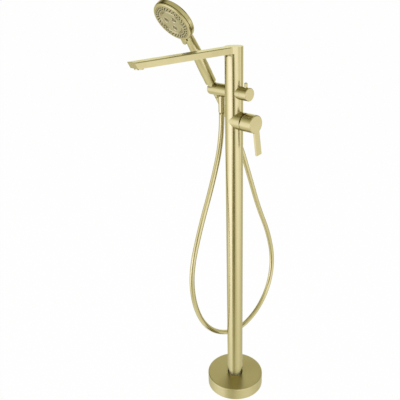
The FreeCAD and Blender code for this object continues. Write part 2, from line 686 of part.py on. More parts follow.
def make_handle():
    """Round hub and lever blade in one casting, open towards the column."""
    body = new_body("mixer_handle", MIXER_BASE, Y_AXIS, "90")
    rear = "mixer_stub + mixer_gap"
    skin = "mixer_dia / 2"
    inside = "mixer_dia / 2 - handle_wall"
    floor = "mixer_end - lever_thick - 3"
    boss = "handle_boss_dia / 2"
    boss_rear = "mixer_stub + 6.5"
    turn(body, [("0", boss_rear), (boss, boss_rear), (boss, floor), (inside, floor), (inside, rear),
                (skin, rear), (skin, "mixer_end"), ("0", "mixer_end")])
    blade = [("mixer_dia / 4", "- lever_width / 2"), ("lever_length", "- lever_width / 2"),
             ("lever_length", "lever_width / 2"), ("mixer_dia / 4", "lever_width / 2")]
    pad(body, outline(blade), "lever_thick", offset=("0", "0", "mixer_end - lever_thick"))
    pocket(body, outline([("- stem_side / 2 - seat_gap", "- stem_side / 2 - seat_gap"),
                          ("stem_side / 2 + seat_gap", "- stem_side / 2 - seat_gap"),
                          ("stem_side / 2 + seat_gap", "stem_side / 2 + seat_gap"),
                          ("- stem_side / 2 - seat_gap", "stem_side / 2 + seat_gap")]),
           "stem_length - 6", offset=("0", "0", boss_rear), forward=True)
    relief = [("- lift_start", "0"), ("- lift_start", rear),
              ("- mixer_dia", f"{rear} + ( mixer_dia - lift_start ) * tan(lift_relief)"), ("- mixer_dia", "0")]
    pocket(body, outline(relief), "mixer_dia * 1.2", role="XZ_Plane", both=True)
    screw_height = "mixer_stub + handle_screw_place"
    pocket(body, circle("handle_screw_dia / 2 + seat_gap", ("0", screw_height)), "mixer_dia",
           role="XZ_Plane")
    pocket(body, circle("handle_plug_dia / 2", ("0", screw_height)), "6", role="XZ_Plane",
           offset=("0", "0", f"- ( {inside} - 1 )"))

    def end_edge(edge):
        box = edge.BoundBox
        flat = abs(box.ZMin - number("mixer_end")) < 0.01 and box.ZLength < 0.01
        return flat and box.XMax < number("lever_length - 1")
    round_edges(body, "mixer_round", end_edge)
    body.Placement = mixer_turned(body.Placement)
    screw = new_body("handle_screw", MIXER_BASE, Y_AXIS, "90")
    pad(screw, circle("handle_screw_dia / 2", ("0", screw_height)), "4", role="XZ_Plane",
        offset=("0", "0", "- stem_side / 2 - 4.1"))
    screw.Placement = mixer_turned(screw.Placement)
    plug = new_body("handle_plug", MIXER_BASE, Y_AXIS, "90")
    pad(plug, circle("handle_plug_dia / 2 - seat_gap", ("0", screw_height)), "2.2", role="XZ_Plane",
        offset=("0", "0", "- mixer_dia / 2 + 0.1"))
    plug.Placement = mixer_turned(plug.Placement)
    return [body, screw, plug]


# ---------------------------------------------------------------- diverter

def make_diverter():
    bonnet = new_body("diverter_bonnet", DIVERTER_BASE, Y_AXIS, "90")
    bore = "spindle_dia / 2 + run_gap"
    turn(bonnet, [(bore, "5"), ("diverter_dia / 2 - 0.2", "5"), ("diverter_dia / 2 - 0.2", "bonnet_end"),
                  (bore, "bonnet_end")])
    pocket(bonnet, circle("column_dia / 2 + seat_gap"), "2 * diverter_dia", role="YZ_Plane", both=True)
    turn(bonnet, tube_corners("spindle_dia / 2 + gland_wall", bore, "gland_start + 0.5",
                              "column_dia / 2 + 2"))
    spindle = turned("diverter_spindle",
                     [("0", "-4"), ("spindle_dia / 2", "-4"),
                      ("spindle_dia / 2", "diverter_end - diverter_cap"),
                      ("0", "diverter_end - diverter_cap")], DIVERTER_BASE, Y_AXIS, "90")
    ring = turned("spindle_seal", tube_corners("spindle_dia / 2 + gland_wall", "spindle_dia / 2 + run_gap",
                                               "gland_start", "gland_start + 0.4"),
                  DIVERTER_BASE, Y_AXIS, "90")
    knob = new_body("diverter_knob", DIVERTER_BASE, Y_AXIS, "90")
    knob_rear = "bonnet_end + part_gap"
    hold = "spindle_dia / 2 + seat_gap"
    turn(knob, [(hold, knob_rear), ("diverter_dia / 2", knob_rear), ("diverter_dia / 2", "diverter_end"),
                ("0", "diverter_end"), ("0", "diverter_end - diverter_cap + 0.1"),
                (hold, "diverter_end - diverter_cap + 0.1")])
    pocket(knob, circle("diverter_pin_dia / 2 + seat_gap", ("0", "diverter_pin_place")), "diverter_dia",
           role="YZ_Plane", offset=("0", "0", "0"))
    round_edges(knob, "diverter_round", ring_edge("diverter_dia / 2", "diverter_end"))
    pin = new_body("diverter_pin", ("diverter_pin_place", "0", "diverter_height"))
    root = "spindle_dia / 2 + 0.1"
    turn(pin, [("0", root), ("diverter_pin_dia / 2", root), ("diverter_pin_dia / 2", "diverter_pin_top"),
               ("0", "diverter_pin_top")])
    round_edges(pin, "diverter_pin_round", ring_edge("diverter_pin_dia / 2", "diverter_pin_top"))
    return [bonnet, spindle, ring, knob, pin]


# ---------------------------------------------------------------- holder arm and hose ends

CONE_SLOPE = "( cone_top_dia - cone_end_dia ) / 2 / ( cone_above + cone_below )"


def cone_radius(along):
    """Radius of the cone nut at a distance above the arm's axis, measured along the nut."""
    return f"cone_end_dia / 2 + ( {along} + cone_below ) * {CONE_SLOPE}"


def make_holder_arm():
    body = new_body("holder_arm")
    pad(body, circle("arm_dia / 2", ("0", "diverter_height")), "arm_reach - 5", role="YZ_Plane",
        offset=("0", "0", "- arm_reach"))
    pocket(body, circle("column_dia / 2 + seat_gap"), "arm_dia * 2",
           offset=("0", "0", "diverter_height"), both=True)

    def end_edge(edge):
        box = edge.BoundBox
        return box.XLength < 0.01 and abs(box.XMin + number("arm_reach")) < 0.01
    round_edges(body, "arm_round", end_edge)
    high = "arm_dia * 0.75"
    low = "- arm_dia * 0.75"
    seat = "bush_gap + bush_wall + 2 * seat_gap"
    hole = [("0", low), (f"{cone_radius(low)} + {seat}", low), (f"{cone_radius(high)} + {seat}", high),
            ("0", high)]
    turn(body, hole, cut=True, role="XZ_Plane", offset=("- holder_reach", "diverter_height", "0"),
         tilt="holder_tilt")
    slot = [("0", low), ("- arm_dia", low), ("- arm_dia", high), ("0", high)]
    pocket(body, outline(slot), "holder_slot", role="XZ_Plane",
           offset=("- holder_reach", "diverter_height", "0"), tilt="holder_tilt", both=True)
    pocket(body, circle("nipple_dia / 2 + seat_gap", ("0", "diverter_height")), "nipple_end - 5",
           role="YZ_Plane", offset=("0", "0", "- nipple_end"), forward=True)
    pocket(body, circle("nipple_bore / 2", ("0", "diverter_height")), "outlet_place - 5",
           role="YZ_Plane", offset=("0", "0", "- outlet_place"), forward=True)
    pocket(body, circle("hose_thread_dia / 2 + seat_gap", ("- outlet_place", "0")), "arm_dia / 2 - 2",
           offset=("0", "0", "diverter_height - arm_dia / 2"), forward=True)
    pocket(body, circle("nipple_bore / 2", ("- outlet_place", "0")), "arm_dia / 2",
           offset=("0", "0", "diverter_height - arm_dia / 2"), forward=True)
    return [body]


def make_holder_bush():
    """Conical plastic bush in the holder, slotted like the arm."""
    bush = new_body("holder_bush", SHOWER_BASE, X_AXIS, "holder_tilt")
    high = "arm_dia / 2 - 3.5"
    low = f"- ( {high} )"
    turn(bush, [(f"{cone_radius(low)} + bush_gap", low), (f"{cone_radius(low)} + bush_gap + bush_wall", low),
                (f"{cone_radius(high)} + bush_gap + bush_wall", high),
                (f"{cone_radius(high)} + bush_gap", high)])
    pocket(bush, outline([("0", "- holder_slot / 2 - 0.3"), ("- arm_dia", "- holder_slot / 2 - 0.3"),
                          ("- arm_dia", "holder_slot / 2 + 0.3"), ("0", "holder_slot / 2 + 0.3")]),
           "arm_dia * 2", both=True)
    return [bush]


def make_arm_fittings():
    nipple = turned("arm_nipple", tube_corners("nipple_dia / 2", "nipple_bore / 2", "nipple_start + 0.1",
                                               "nipple_end - 0.1"), DIVERTER_BASE, Y_AXIS, "-90")
    outlet_base = ("- outlet_place", "0", "diverter_height - arm_dia / 2")
    thread = "hose_thread_dia / 2"
    outlet = turned("outlet_nipple", tube_corners(thread, "hose_thread_bore / 2", "- hose_thread_length",
                                                  "arm_dia / 2 - 2.1"), outlet_base)
    radius = "hose_nut_dia / 2"
    hole = "tail_dia / 2 + 0.1"
    low = "- hose_nut_length - 0.3"
    shoulder = "- hose_thread_length - washer_thick - 0.2"
    nut = new_body("hose_nut", outlet_base)
    turn(nut, [(f"{thread} + seat_gap", "-0.3"), (f"{thread} + seat_gap", shoulder), (hole, shoulder),
               (hole, low), (radius, low), (radius, "-0.3")])
    round_edges(nut, "0.6", ring_edge(radius, "-0.3"))
    washer = turned("outlet_hose_washer",
                    tube_corners(f"{thread} - 0.1", "hose_thread_bore / 2", f"{shoulder} + 0.1",
                                 "- hose_thread_length - 0.1"), outlet_base)
    end = f"{low} - ferrule_length"
    ferrule = turned("outlet_ferrule", tube_corners("ferrule_dia / 2", hole, end, f"{low} - 0.05"),
                     outlet_base)
    tail = turned("outlet_hose_tail", tube_corners("tail_dia / 2", "tail_bore / 2", end,
                                                   f"{shoulder} - 0.1"), outlet_base)
    return [nipple, outlet, nut, washer, ferrule, tail]


def make_cone_nut():
    """Cone nut with the sleeve and the tail of the hose's other end."""
    hole = "tail_dia / 2 + 0.1"
    thread = "inlet_thread / 2"
    nut = turned("cone_nut", [(f"{thread} + 0.1", "cone_above"), (f"{thread} + 0.1", "- cone_shoulder"),
                              (hole, "- cone_shoulder"), (hole, "- cone_below"),
                              ("cone_end_dia / 2", "- cone_below"), ("cone_top_dia / 2", "cone_above")],
                 SHOWER_BASE, X_AXIS, "holder_tilt")
    washer = turned("cone_washer", tube_corners(thread, "inlet_bore / 2 + 0.5", "0.1 - cone_shoulder",
                                                "0.2 - cone_shoulder + washer_thick"),
                    SHOWER_BASE, X_AXIS, "holder_tilt")
    tail = turned("cone_hose_tail", tube_corners("tail_dia / 2", "tail_bore / 2", "- sleeve_below",
                                                 "- cone_shoulder - 0.1"),
                  SHOWER_BASE, X_AXIS, "holder_tilt")
    sleeve = turned("cone_sleeve", tube_corners("sleeve_dia / 2", hole, "- sleeve_below",
                                                "- cone_below - sleeve_gap"),
                    SHOWER_BASE, X_AXIS, "holder_tilt")
    return [nut, washer, tail, sleeve]


# ---------------------------------------------------------------- shower hose

# Corners of the hose's route from the outlet under the arm round to the cone nut.
HOSE_ROUTE = [
    (-43.4, 0, 842), (-43.4, 0, 772), (-47, -34, 656), (-51, -82, 534), (-54, -116, 418),
    (-55, -112, 318), (-56, -78, 224), (-57, -16, 156), (-58, 72, 116), (-60, 164, 140),
    (-61, 226, 208), (-62, 246, 304), (-63, 222, 408), (-65, 172, 516), (-67, 132, 630),
]
HOSE_LAST_RUN = 137


def make_hose():
    """Tube along straight runs joined by arcs that touch both runs."""
    drop = number("sleeve_below")
    tilt = math.radians(number("holder_tilt"))
    reach = number("holder_reach")
    end = Vector(-reach, drop * math.sin(tilt), number("diverter_height") - drop * math.cos(tilt))
    start_height = number("diverter_height - arm_dia / 2 - hose_nut_length - 0.3 - ferrule_length")
    points = [Vector(*point) for point in HOSE_ROUTE]
    points[0] = Vector(-number("outlet_place"), 0, start_height)
    points.append(end + Vector(0, math.sin(tilt), -math.cos(tilt)) * HOSE_LAST_RUN)
    points.append(end)
    radius = number("hose_dia / 2")
    edges = []
    here = points[0]
    radii = []
    for before, corner, after in zip(points, points[1:], points[2:]):
        back = before - corner
        ahead = after - corner
        shorter = min(back.Length, ahead.Length)
        back.normalize()
        ahead.normalize()
        half_turn = (math.pi - back.getAngle(ahead)) / 2
        touch = 0.45 * shorter
        radii.append(round(touch / math.tan(half_turn)))
        first = corner + back * touch
        last = corner + ahead * touch
        inward = (back + ahead).normalize()
        middle = corner + inward * touch * math.tan(half_turn / 2)
        edges.append(Part.LineSegment(here, first).toShape())
        edges.append(Part.Arc(first, middle, last).toShape())
        here = last
    edges.append(Part.LineSegment(here, points[-1]).toShape())
    path = Part.Wire(edges)
    section = Part.Wire(Part.Circle(points[0], points[0] - points[1], radius).toShape())
    tube = path.makePipeShell([section], True, False)
    hose = doc.addObject("Part::Feature", "shower_hose")
    hose.Shape = tube
    expected = math.pi * radius ** 2 * path.Length
    print("hose length", round(path.Length, 1), "radii", radii)
    print("hose volume / section times length", round(tube.Volume / expected, 5))
    return [hose]


# ---------------------------------------------------------------- hand shower

def make_shell():
    """Grip that flows into the back of the round head."""
    sections = [("grip_start", "grip_start_dia / 2", "grip_start_dia / 2", "0"),
                ("grip_start + 30", "grip_full_dia / 2", "grip_full_dia / 2", "0"),
                ("grip_start + 62", "grip_full_dia / 2 - 0.3", "grip_full_dia / 2 - 0.3", "0"),
                ("grip_neck", "grip_neck_dia / 2", "grip_neck_dia / 2", "-1"),
                ("grip_neck + 16", "grip_neck_dia / 2 + 2.2", "grip_neck_dia / 2 - 1", "-2.6"),
                ("grip_neck + 34", "grip_neck_dia / 2 + 9", "grip_neck_dia / 2 - 3", "-6")]
    rings = []
    for index, (along, wide, deep, shift) in enumerate(sections):
        ring = doc.addObject("Part::Ellipse", f"grip_section_{index + 1}")
        bind(ring, "MajorRadius", f"{wide} + 0.001")
        bind(ring, "MinorRadius", deep)
        ring.Placement = Placement(Vector(0, number(shift), number(along)), Rotation())
        bind(ring, "Placement.Base.z", along)
        rings.append(ring)
    grip = doc.addObject("Part::Loft", "grip_loft")
    grip.Sections = rings
    grip.Solid = True
    head = new_body("head_dome", ("0", "- head_forward", "head_place"), X_AXIS, "head_tilt + 90")
    edge = "head_dia / 2"
    turn(head, [("0", "-0.2"), (edge, "-0.2"), (edge, "- head_edge"), ("head_crown", "- head_shoulder"),
                ("0", "- head_depth")])
    round_edges(head, "head_round", ring_edge(edge, "- head_edge"))
    round_edges(head, "head_dia / 2", ring_edge("head_crown", "- head_shoulder"))
    whole = doc.addObject("Part::Fuse", "shell_outside")
    whole.Base = grip
    whole.Tool = head
    room = new_body("shell_room", ("0", "- head_forward", "head_place"), X_AXIS, "head_tilt + 90")
    turn(room, [("0", "1"), ("head_dia / 2 - head_shell_wall", "1"),
                ("head_dia / 2 - head_shell_wall", "- head_room"), ("0", "- head_room")])
    bore = new_body("shell_bore")
    deep = "grip_start + inlet_grip + 1"
    turn(bore, [("0", "0"), ("grip_bore / 2", "0"), ("grip_bore / 2", deep), ("inlet_bore / 2 + 1", deep),
                ("inlet_bore / 2 + 1", "grip_neck + 24"), ("0", "grip_neck + 24")])
    inside = doc.addObject("Part::Fuse", "shell_inside")
    inside.Base = room
    inside.Tool = bore
    shell = doc.addObject("Part::Cut", "handset_shell")
    shell.Base = whole
    shell.Tool = inside
    shell.Placement = Placement(Vector(*[number(part) for part in SHOWER_BASE]),
                                Rotation(X_AXIS, number("holder_tilt")))
    return [shell]


def head_body(label):
    """Body in the head's own frame: +Z leaves the spray face, the tab points along +Y."""
    return new_body(label)


def head_placed(body):
    """Bring a body from the head's own frame into the assembly."""
    shower = Placement(Vector(*[number(part) for part in SHOWER_BASE]),
                       Rotation(X_AXIS, number("holder_tilt")))
    head = Placement(Vector(0, -number("head_forward"), number("head_place")),
                     Rotation(X_AXIS, number("head_tilt + 90")))
    body.Placement = shower.multiply(head)
    return body


def make_selector():
    body = head_body("selector_ring")
    skin = "selector_dia / 2"
    hole = "face_dia / 2 + 0.25"
    lip = "head_dia / 2 - head_shell_wall - 0.3"
    rear = "selector_groove - 0.2"
    turn(body, [(hole, "-3"), (lip, "-3"), (lip, rear), (skin, rear),
                (skin, "selector_rise - 2.2"), ("selector_dia / 2 - 1", "selector_rise - 0.8"),
                ("selector_dia / 2 - 3", "selector_rise"), (hole, "selector_rise")])
    half = "selector_tab_width / 2"
    root = "- selector_dia / 2 + 2"
    tab = [(f"- {half}", root), (half, root), (half, "- selector_tab_reach"),
           (f"- {half}", "- selector_tab_reach")]
    pad(body, outline(tab), "selector_tab_thick + selector_tab_lift", offset=("0", "0", rear))

    def tab_corner(edge):
        box = edge.BoundBox
        return abs(box.YMin + number("selector_tab_reach")) < 0.01 and box.ZLength > 1 and box.XLength < 0.01
    round_edges(body, "selector_tab_width / 2 - 1.5", tab_corner)
    under = [("- selector_dia / 2 - 0.1", rear), ("- selector_tab_reach - 1", f"{rear} + selector_tab_lift"),
             ("- selector_tab_reach - 1", f"{rear} - 1"), ("- selector_dia / 2 - 0.1", f"{rear} - 1")]
    pocket(body, outline(under), "selector_tab_width * 2", role="YZ_Plane", both=True)
    above = f"{rear} + selector_tab_thick + selector_tab_lift"
    over = [(root, f"{rear} + selector_tab_thick"), ("- selector_tab_reach - 1", above),
            ("- selector_tab_reach - 1", f"{above} + 1"), (root, f"{above} + 1")]
    pocket(body, outline(over), "selector_tab_width * 2", role="YZ_Plane", both=True)
    return [head_placed(body)]


def nozzle_places():
    """Places of the nozzles on the spray face: two rings, and three round the middle dishes."""
    count = int(number("nozzle_count"))
    places = []
    for index in range(count):
        angle = 2 * math.pi * index / count
        places.append((number("nozzle_ring_outer"), angle))
        places.append((number("nozzle_ring_inner"), angle + math.pi / count))
    for lobe in range(3):
        places.append((number("lobe_place"), 2 * math.pi * lobe / 3 - math.pi / 2))
    return [(r * math.cos(angle), r * math.sin(angle)) for r, angle in places]


def studs(radius, low, high):
    """Eight-sided studs at the nozzles' places."""
    solids = []
    for x, y in nozzle_places():
        ring = [Vector(x + radius * math.cos(math.radians(45 * step)),
                       y + radius * math.sin(math.radians(45 * step)), low) for step in range(9)]
        solids.append(Part.Face(Part.makePolygon(ring)).extrude(Vector(0, 0, high - low)))
    return solids


def make_face():
    blank = head_body("spray_face_blank")
    low = "selector_rise - 2.6"
    high = "selector_rise + 0.3"
    groove = "selector_rise - 0.6"
    turn(blank, [("0", low), ("face_dia / 2", low), ("face_dia / 2", "selector_rise - 0.4"),
                 ("face_dia / 2 - 1.5", high), ("face_step + 4.6", high), ("face_step + 4.2", groove),
                 ("face_step + 3", groove), ("face_step + 2.6", high), ("face_step + 1.6", high),
                 ("face_step + 1.2", groove), ("face_step", groove), ("face_step - 0.6", high), ("0", high)])
    dish = pocket(blank, circle("lobe_dia / 2", ("0", "- lobe_place")), "lobe_depth",
                  offset=("0", "0", high))
    around(blank, dish, "3")
    doc.recompute()
    holes = studs(number("nozzle_dia / 2 + 0.15"), number(low) - 1, number(high) + 1)
    face = doc.addObject("Part::Feature", "spray_face")
    face.Shape = blank.Shape.cut(Part.makeCompound(holes))
    mat_low = number("selector_rise - 4.2")
    mat = Part.makeCylinder(number("face_dia / 2 - 0.6"), number(low) - mat_low, Vector(0, 0, mat_low))
    tips = studs(number("nozzle_dia / 2"), number(low) - 0.4, number(f"{high} + nozzle_rise"))
    nozzles = doc.addObject("Part::Feature", "spray_nozzles")
    nozzles.Shape = mat.fuse(tips)
    distributor = head_body("spray_distributor")
    plate = "face_dia / 2 - 0.6"
    rear = "1 - head_room"
    turn(distributor, [("0", rear), (plate, rear), (plate, "0.2"), ("0", "0.2")])
    port = pocket(distributor, circle("4", ("18", "0")), "head_room", offset=("0", "0", "0.2"))
    around(distributor, port, "3")
    return [head_placed(face), head_placed(nozzles), head_placed(distributor)]


def make_inlet():
    """Threaded inlet of the hand shower, from the washer in the cone nut up into the grip."""
    rear = "0.3 - cone_shoulder + washer_thick"
    collar = "cone_above + 0.1"
    bore = "inlet_bore / 2"
    thread = "inlet_thread / 2"
    skin = "grip_bore / 2 - 0.1"
    inlet = turned("handset_inlet",
                   [(bore, rear), (thread, rear), (thread, collar), (skin, collar),
                    (skin, "grip_start + inlet_grip"), (bore, "grip_start + inlet_grip")],
                   SHOWER_BASE, X_AXIS, "holder_tilt")
    inlet_filter = turned("inlet_filter", [("0", f"{rear} + 0.1"), (f"{bore} - 0.1", f"{rear} + 0.1"),
                                           (f"{bore} - 0.1", "inlet_bore - 2"), ("0", "inlet_bore - 2")],
                          SHOWER_BASE, X_AXIS, "holder_tilt")
    return [inlet, inlet_filter]


# ---------------------------------------------------------------- build, check, write

MAKERS = [
    make_floor_flange, make_clamp_screws, make_base_cover, make_inlet_block, make_column, make_pipes,
    make_valve_body, make_diverter_body, make_spout, make_outlet, make_cartridge, make_rotor, make_stem,
    make_handle, make_diverter, make_holder_arm, make_holder_bush, make_arm_fittings, make_cone_nut,
    make_hose, make_shell, make_selector, make_face, make_inlet,
]

pieces = []
for maker in MAKERS:
    pieces += maker()
doc.recompute()

for item in doc.Objects:
    if "Invalid" in item.State or "Error" in item.State:
        raise RuntimeError(item.Label + " failed: " + str(item.State))
for piece in pieces:
    if piece.Shape.isNull() or not piece.Shape.isValid():
        raise RuntimeError(piece.Label + " has no valid shape")

os.makedirs("parts", exist_ok=True)
for piece in pieces:
    piece.Shape.exportStep(f"parts/{piece.Label}.step")
print(len(pieces), "nodes,", sum(len(piece.Shape.Solids) for piece in pieces), "solids")
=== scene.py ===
"""Looks of a floor standing bath filler in brushed pale gold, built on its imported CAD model."""

import bmesh
import bpy
import math
from mathutils import Matrix, Vector


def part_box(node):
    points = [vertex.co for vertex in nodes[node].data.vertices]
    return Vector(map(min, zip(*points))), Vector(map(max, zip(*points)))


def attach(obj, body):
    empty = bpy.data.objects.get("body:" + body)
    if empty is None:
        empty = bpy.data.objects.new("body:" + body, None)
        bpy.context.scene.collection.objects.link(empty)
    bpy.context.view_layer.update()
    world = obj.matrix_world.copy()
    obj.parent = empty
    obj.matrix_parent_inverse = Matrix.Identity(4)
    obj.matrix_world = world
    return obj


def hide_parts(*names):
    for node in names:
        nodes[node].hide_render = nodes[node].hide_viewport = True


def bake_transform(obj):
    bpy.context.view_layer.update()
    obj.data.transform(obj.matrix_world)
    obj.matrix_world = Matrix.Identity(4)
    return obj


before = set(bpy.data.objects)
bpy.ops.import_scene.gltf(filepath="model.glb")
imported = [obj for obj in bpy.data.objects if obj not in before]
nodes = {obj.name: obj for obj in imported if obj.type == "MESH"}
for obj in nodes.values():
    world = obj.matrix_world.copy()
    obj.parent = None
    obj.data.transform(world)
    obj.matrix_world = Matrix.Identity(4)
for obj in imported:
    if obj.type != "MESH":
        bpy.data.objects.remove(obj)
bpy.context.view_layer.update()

# ---------------------------------------------------------------- places (metres, radians)

ORIGIN = (0, 0, 0)
MIXER_AXIS = Vector((0, 0, 0.830))
MIXER_PIN = MIXER_AXIS + Vector((0.037, 0, 0))
DIVERTER_AXIS = Vector((0, 0, 0.899))
HOSE_OUTLET_AXIS = Vector((-0.045, 0, 0))
SHOWER_AXIS = Vector((-0.070, 0, 0.899))
SHOWER_TILT = math.radians(30.5)
FACE_CENTRE = Vector((-0.070, -0.126108, 1.070530))
FACE_TILT = math.radians(37)

# Turns that bring Z to the axis that a piece is turned about.
UPRIGHT = (0, 0, 0)
SIDEWAYS = (0, math.radians(90), 0)
GRIP_TURN = (SHOWER_TILT, 0, 0)
FACE_TURN = (FACE_TILT + math.radians(90), 0, 0)

# ---------------------------------------------------------------- helpers


def link_object(name, data):
    """New object with the data given, in the scene."""
    made = bpy.data.objects.new(name, data)
    bpy.context.scene.collection.objects.link(made)
    return made


def new_mesh(name, points, faces, place=None):
    mesh = bpy.data.meshes.new(name)
    mesh.from_pydata(points, [], faces)
    if place is not None:
        mesh.transform(place)
    mesh.update()
    return mesh


def new_piece(name, mesh, material):
    piece = link_object(name, mesh)
    mesh.materials.clear()
    mesh.materials.append(material)
    return piece


def evaluated_mesh(holder):
    """Plain mesh of an object as its curve or modifiers make it; the object itself is removed."""
    bpy.context.view_layer.update()
    evaluated = holder.evaluated_get(bpy.context.evaluated_depsgraph_get())
    mesh = bpy.data.meshes.new_from_object(evaluated)
    bpy.data.objects.remove(holder)
    return mesh


def shade_smooth(mesh, sharp_from):
    """Smooth shading, with the edges from the angle in degrees on kept sharp."""
    mesh.polygons.foreach_set("use_smooth", [True] * len(mesh.polygons))
    mesh.set_sharp_from_angle(angle=math.radians(sharp_from))


def feed(tree, socket, value):
    """Link a socket to the output given, or set it to the value given."""
    if isinstance(value, bpy.types.NodeSocket):
        tree.links.new(value, socket)
    else:
        socket.default_value = value


def add_node(tree, kind, inputs=None, **settings):
    """New node with its settings made first, and then its inputs by name or number."""
    node = tree.nodes.new(kind)
    for name, value in settings.items():
        setattr(node, name, value)
    for key, value in (inputs or {}).items():
        feed(tree, node.inputs[key], value)
    return node


def math_node(tree, operation, *values):
    return add_node(tree, "ShaderNodeMath", dict(enumerate(values)), operation=operation).outputs[0]


def map_range(tree, value, low, high, curve="LINEAR", ends=(0, 1)):
    """Takes a value between low and high to a value between the two ends."""
    inputs = {"Value": value, "From Min": low, "From Max": high,
              "To Min": ends[0], "To Max": ends[1]}
    return add_node(tree, "ShaderNodeMapRange", inputs, interpolation_type=curve).outputs["Result"]


def cleared_tree(owner):
    """Empty node tree of a material or a world."""
    owner.use_nodes = True
    owner.node_tree.nodes.clear()
    return owner.node_tree


def add_camera_switch(tree, seen, unseen, output_kind, share=1):
    """Output that is one shader for the camera and another one for light and reflections."""
    path = add_node(tree, "ShaderNodeLightPath")
    factor = math_node(tree, "MULTIPLY", path.outputs["Is Camera Ray"], share)
    mix = add_node(tree, "ShaderNodeMixShader",
                   {0: factor, 1: unseen.outputs[0], 2: seen.outputs[0]})
    add_node(tree, output_kind, {0: mix.outputs[0]})


# ---------------------------------------------------------------- studio

SENSOR_WIDTH = 36.0
FOCAL_LENGTH = 47.55
CAMERA_PLACE = (0.8910, -0.9393, 1.1704)
# Turn of the camera round the vertical, up from looking straight down, and about its line of sight.
CAMERA_BEARING = math.radians(47.548)
CAMERA_RISE = math.radians(90 - 23.307)
CAMERA_ROLL = math.radians(-1.824)

WHITE = (1, 1, 1, 1)
FLOOR_COLOUR = (0.93, 0.93, 0.93, 1)
FLOOR_REACH = 60
# Share of plain white in what the camera sees of the floor.
FLOOR_WHITENESS = 0.985

# Soft light all round by height in degrees, and the soft panels and dark cloths set up before it.
SURROUND = [(-62, 0.72), (-30, 0.50), (0, 0.08), (25, 0.55), (62, 0.42)]
# Bearing of the middle, half width, height of the middle and half height, all in degrees; how far
# the bearing leans with the height; softness of the edge, as a share of the half sizes; level.
PANELS = {
    "wide window, left": (-103, 43, -11, 25, 0.0, 0.5, 1.30),
    "leaning window, middle": (-23, 23, -5, 25, -0.9, 0.8, 1.03),
    "window, right": (21, 39, -15, 16, -0.5, 0.6, 0.93),
    "wall, right": (88, 22, 0, 39, 0.6, 0.6, 0.46),
    "black cloth behind the camera": (-55, 12, -19, 21, 0.1, 0.7, 0.06),
    "grey cloth under the camera": (-74, 11, -30, 12, 0.1, 0.6, 0.25),
    "dark cloth over the left window": (-75, 21, 5, 9, -0.3, 0.7, 0.05),
    "long strip light": (-32, 64, 10, 7, -0.7, 1.0, 0.83),
    "window, behind": (137, 25, 2, 15, 0.6, 1.0, 1.50),
    "black cloth, behind": (-176, 35, 36, 21, -0.1, 0.7, 0.0),
    "wall, behind": (155, 67, -15, 36, 0.9, 1.0, 0.53),
    "black cloth, high on the right": (72, 34, 42, 15, 0.0, 0.5, 0.04),
    "gap between the windows": (15, 11, 2, 23, -0.5, 0.8, 0.65),
}
# Bright panels are a little cool and dark ones brown. One panel is warm: it keeps less of its blue.
RED_SHARE, RED_FALL, RED_FALLS_TO = 1.06, 0.10, 0.6
BLUE_SHARE, BLUE_RISE = 0.50, 0.72
WARM_PANEL, WARM_BLUE = "window, behind", 0.62


def make_camera():
    data = bpy.data.cameras.new("camera")
    data.sensor_width = SENSOR_WIDTH
    data.lens = FOCAL_LENGTH
    camera = link_object("camera", data)
    turn = (Matrix.Rotation(CAMERA_BEARING, 3, "Z")
            @ Matrix.Rotation(CAMERA_RISE, 3, "X")
            @ Matrix.Rotation(CAMERA_ROLL, 3, "Z"))
    camera.rotation_euler = turn.to_euler()
    camera.location = CAMERA_PLACE
    bpy.context.scene.camera = camera


def make_floor():
    """Plain floor that the camera sees as all but white and that no polished piece mirrors."""
    quarters = ((-1, -1), (1, -1), (1, 1), (-1, 1))
    corners = [(x * FLOOR_REACH, y * FLOOR_REACH, 0) for x, y in quarters]
    mesh = new_mesh("floor", corners, [(0, 1, 2, 3)])
    material = bpy.data.materials.new("floor")
    tree = cleared_tree(material)
    paint = add_node(tree, "ShaderNodeBsdfDiffuse", {"Color": FLOOR_COLOUR})
    glow = add_node(tree, "ShaderNodeEmission", {"Color": WHITE})
    add_camera_switch(tree, glow, paint, "ShaderNodeOutputMaterial", FLOOR_WHITENESS)
    floor = new_piece("floor", mesh, material)
    floor.visible_glossy = False


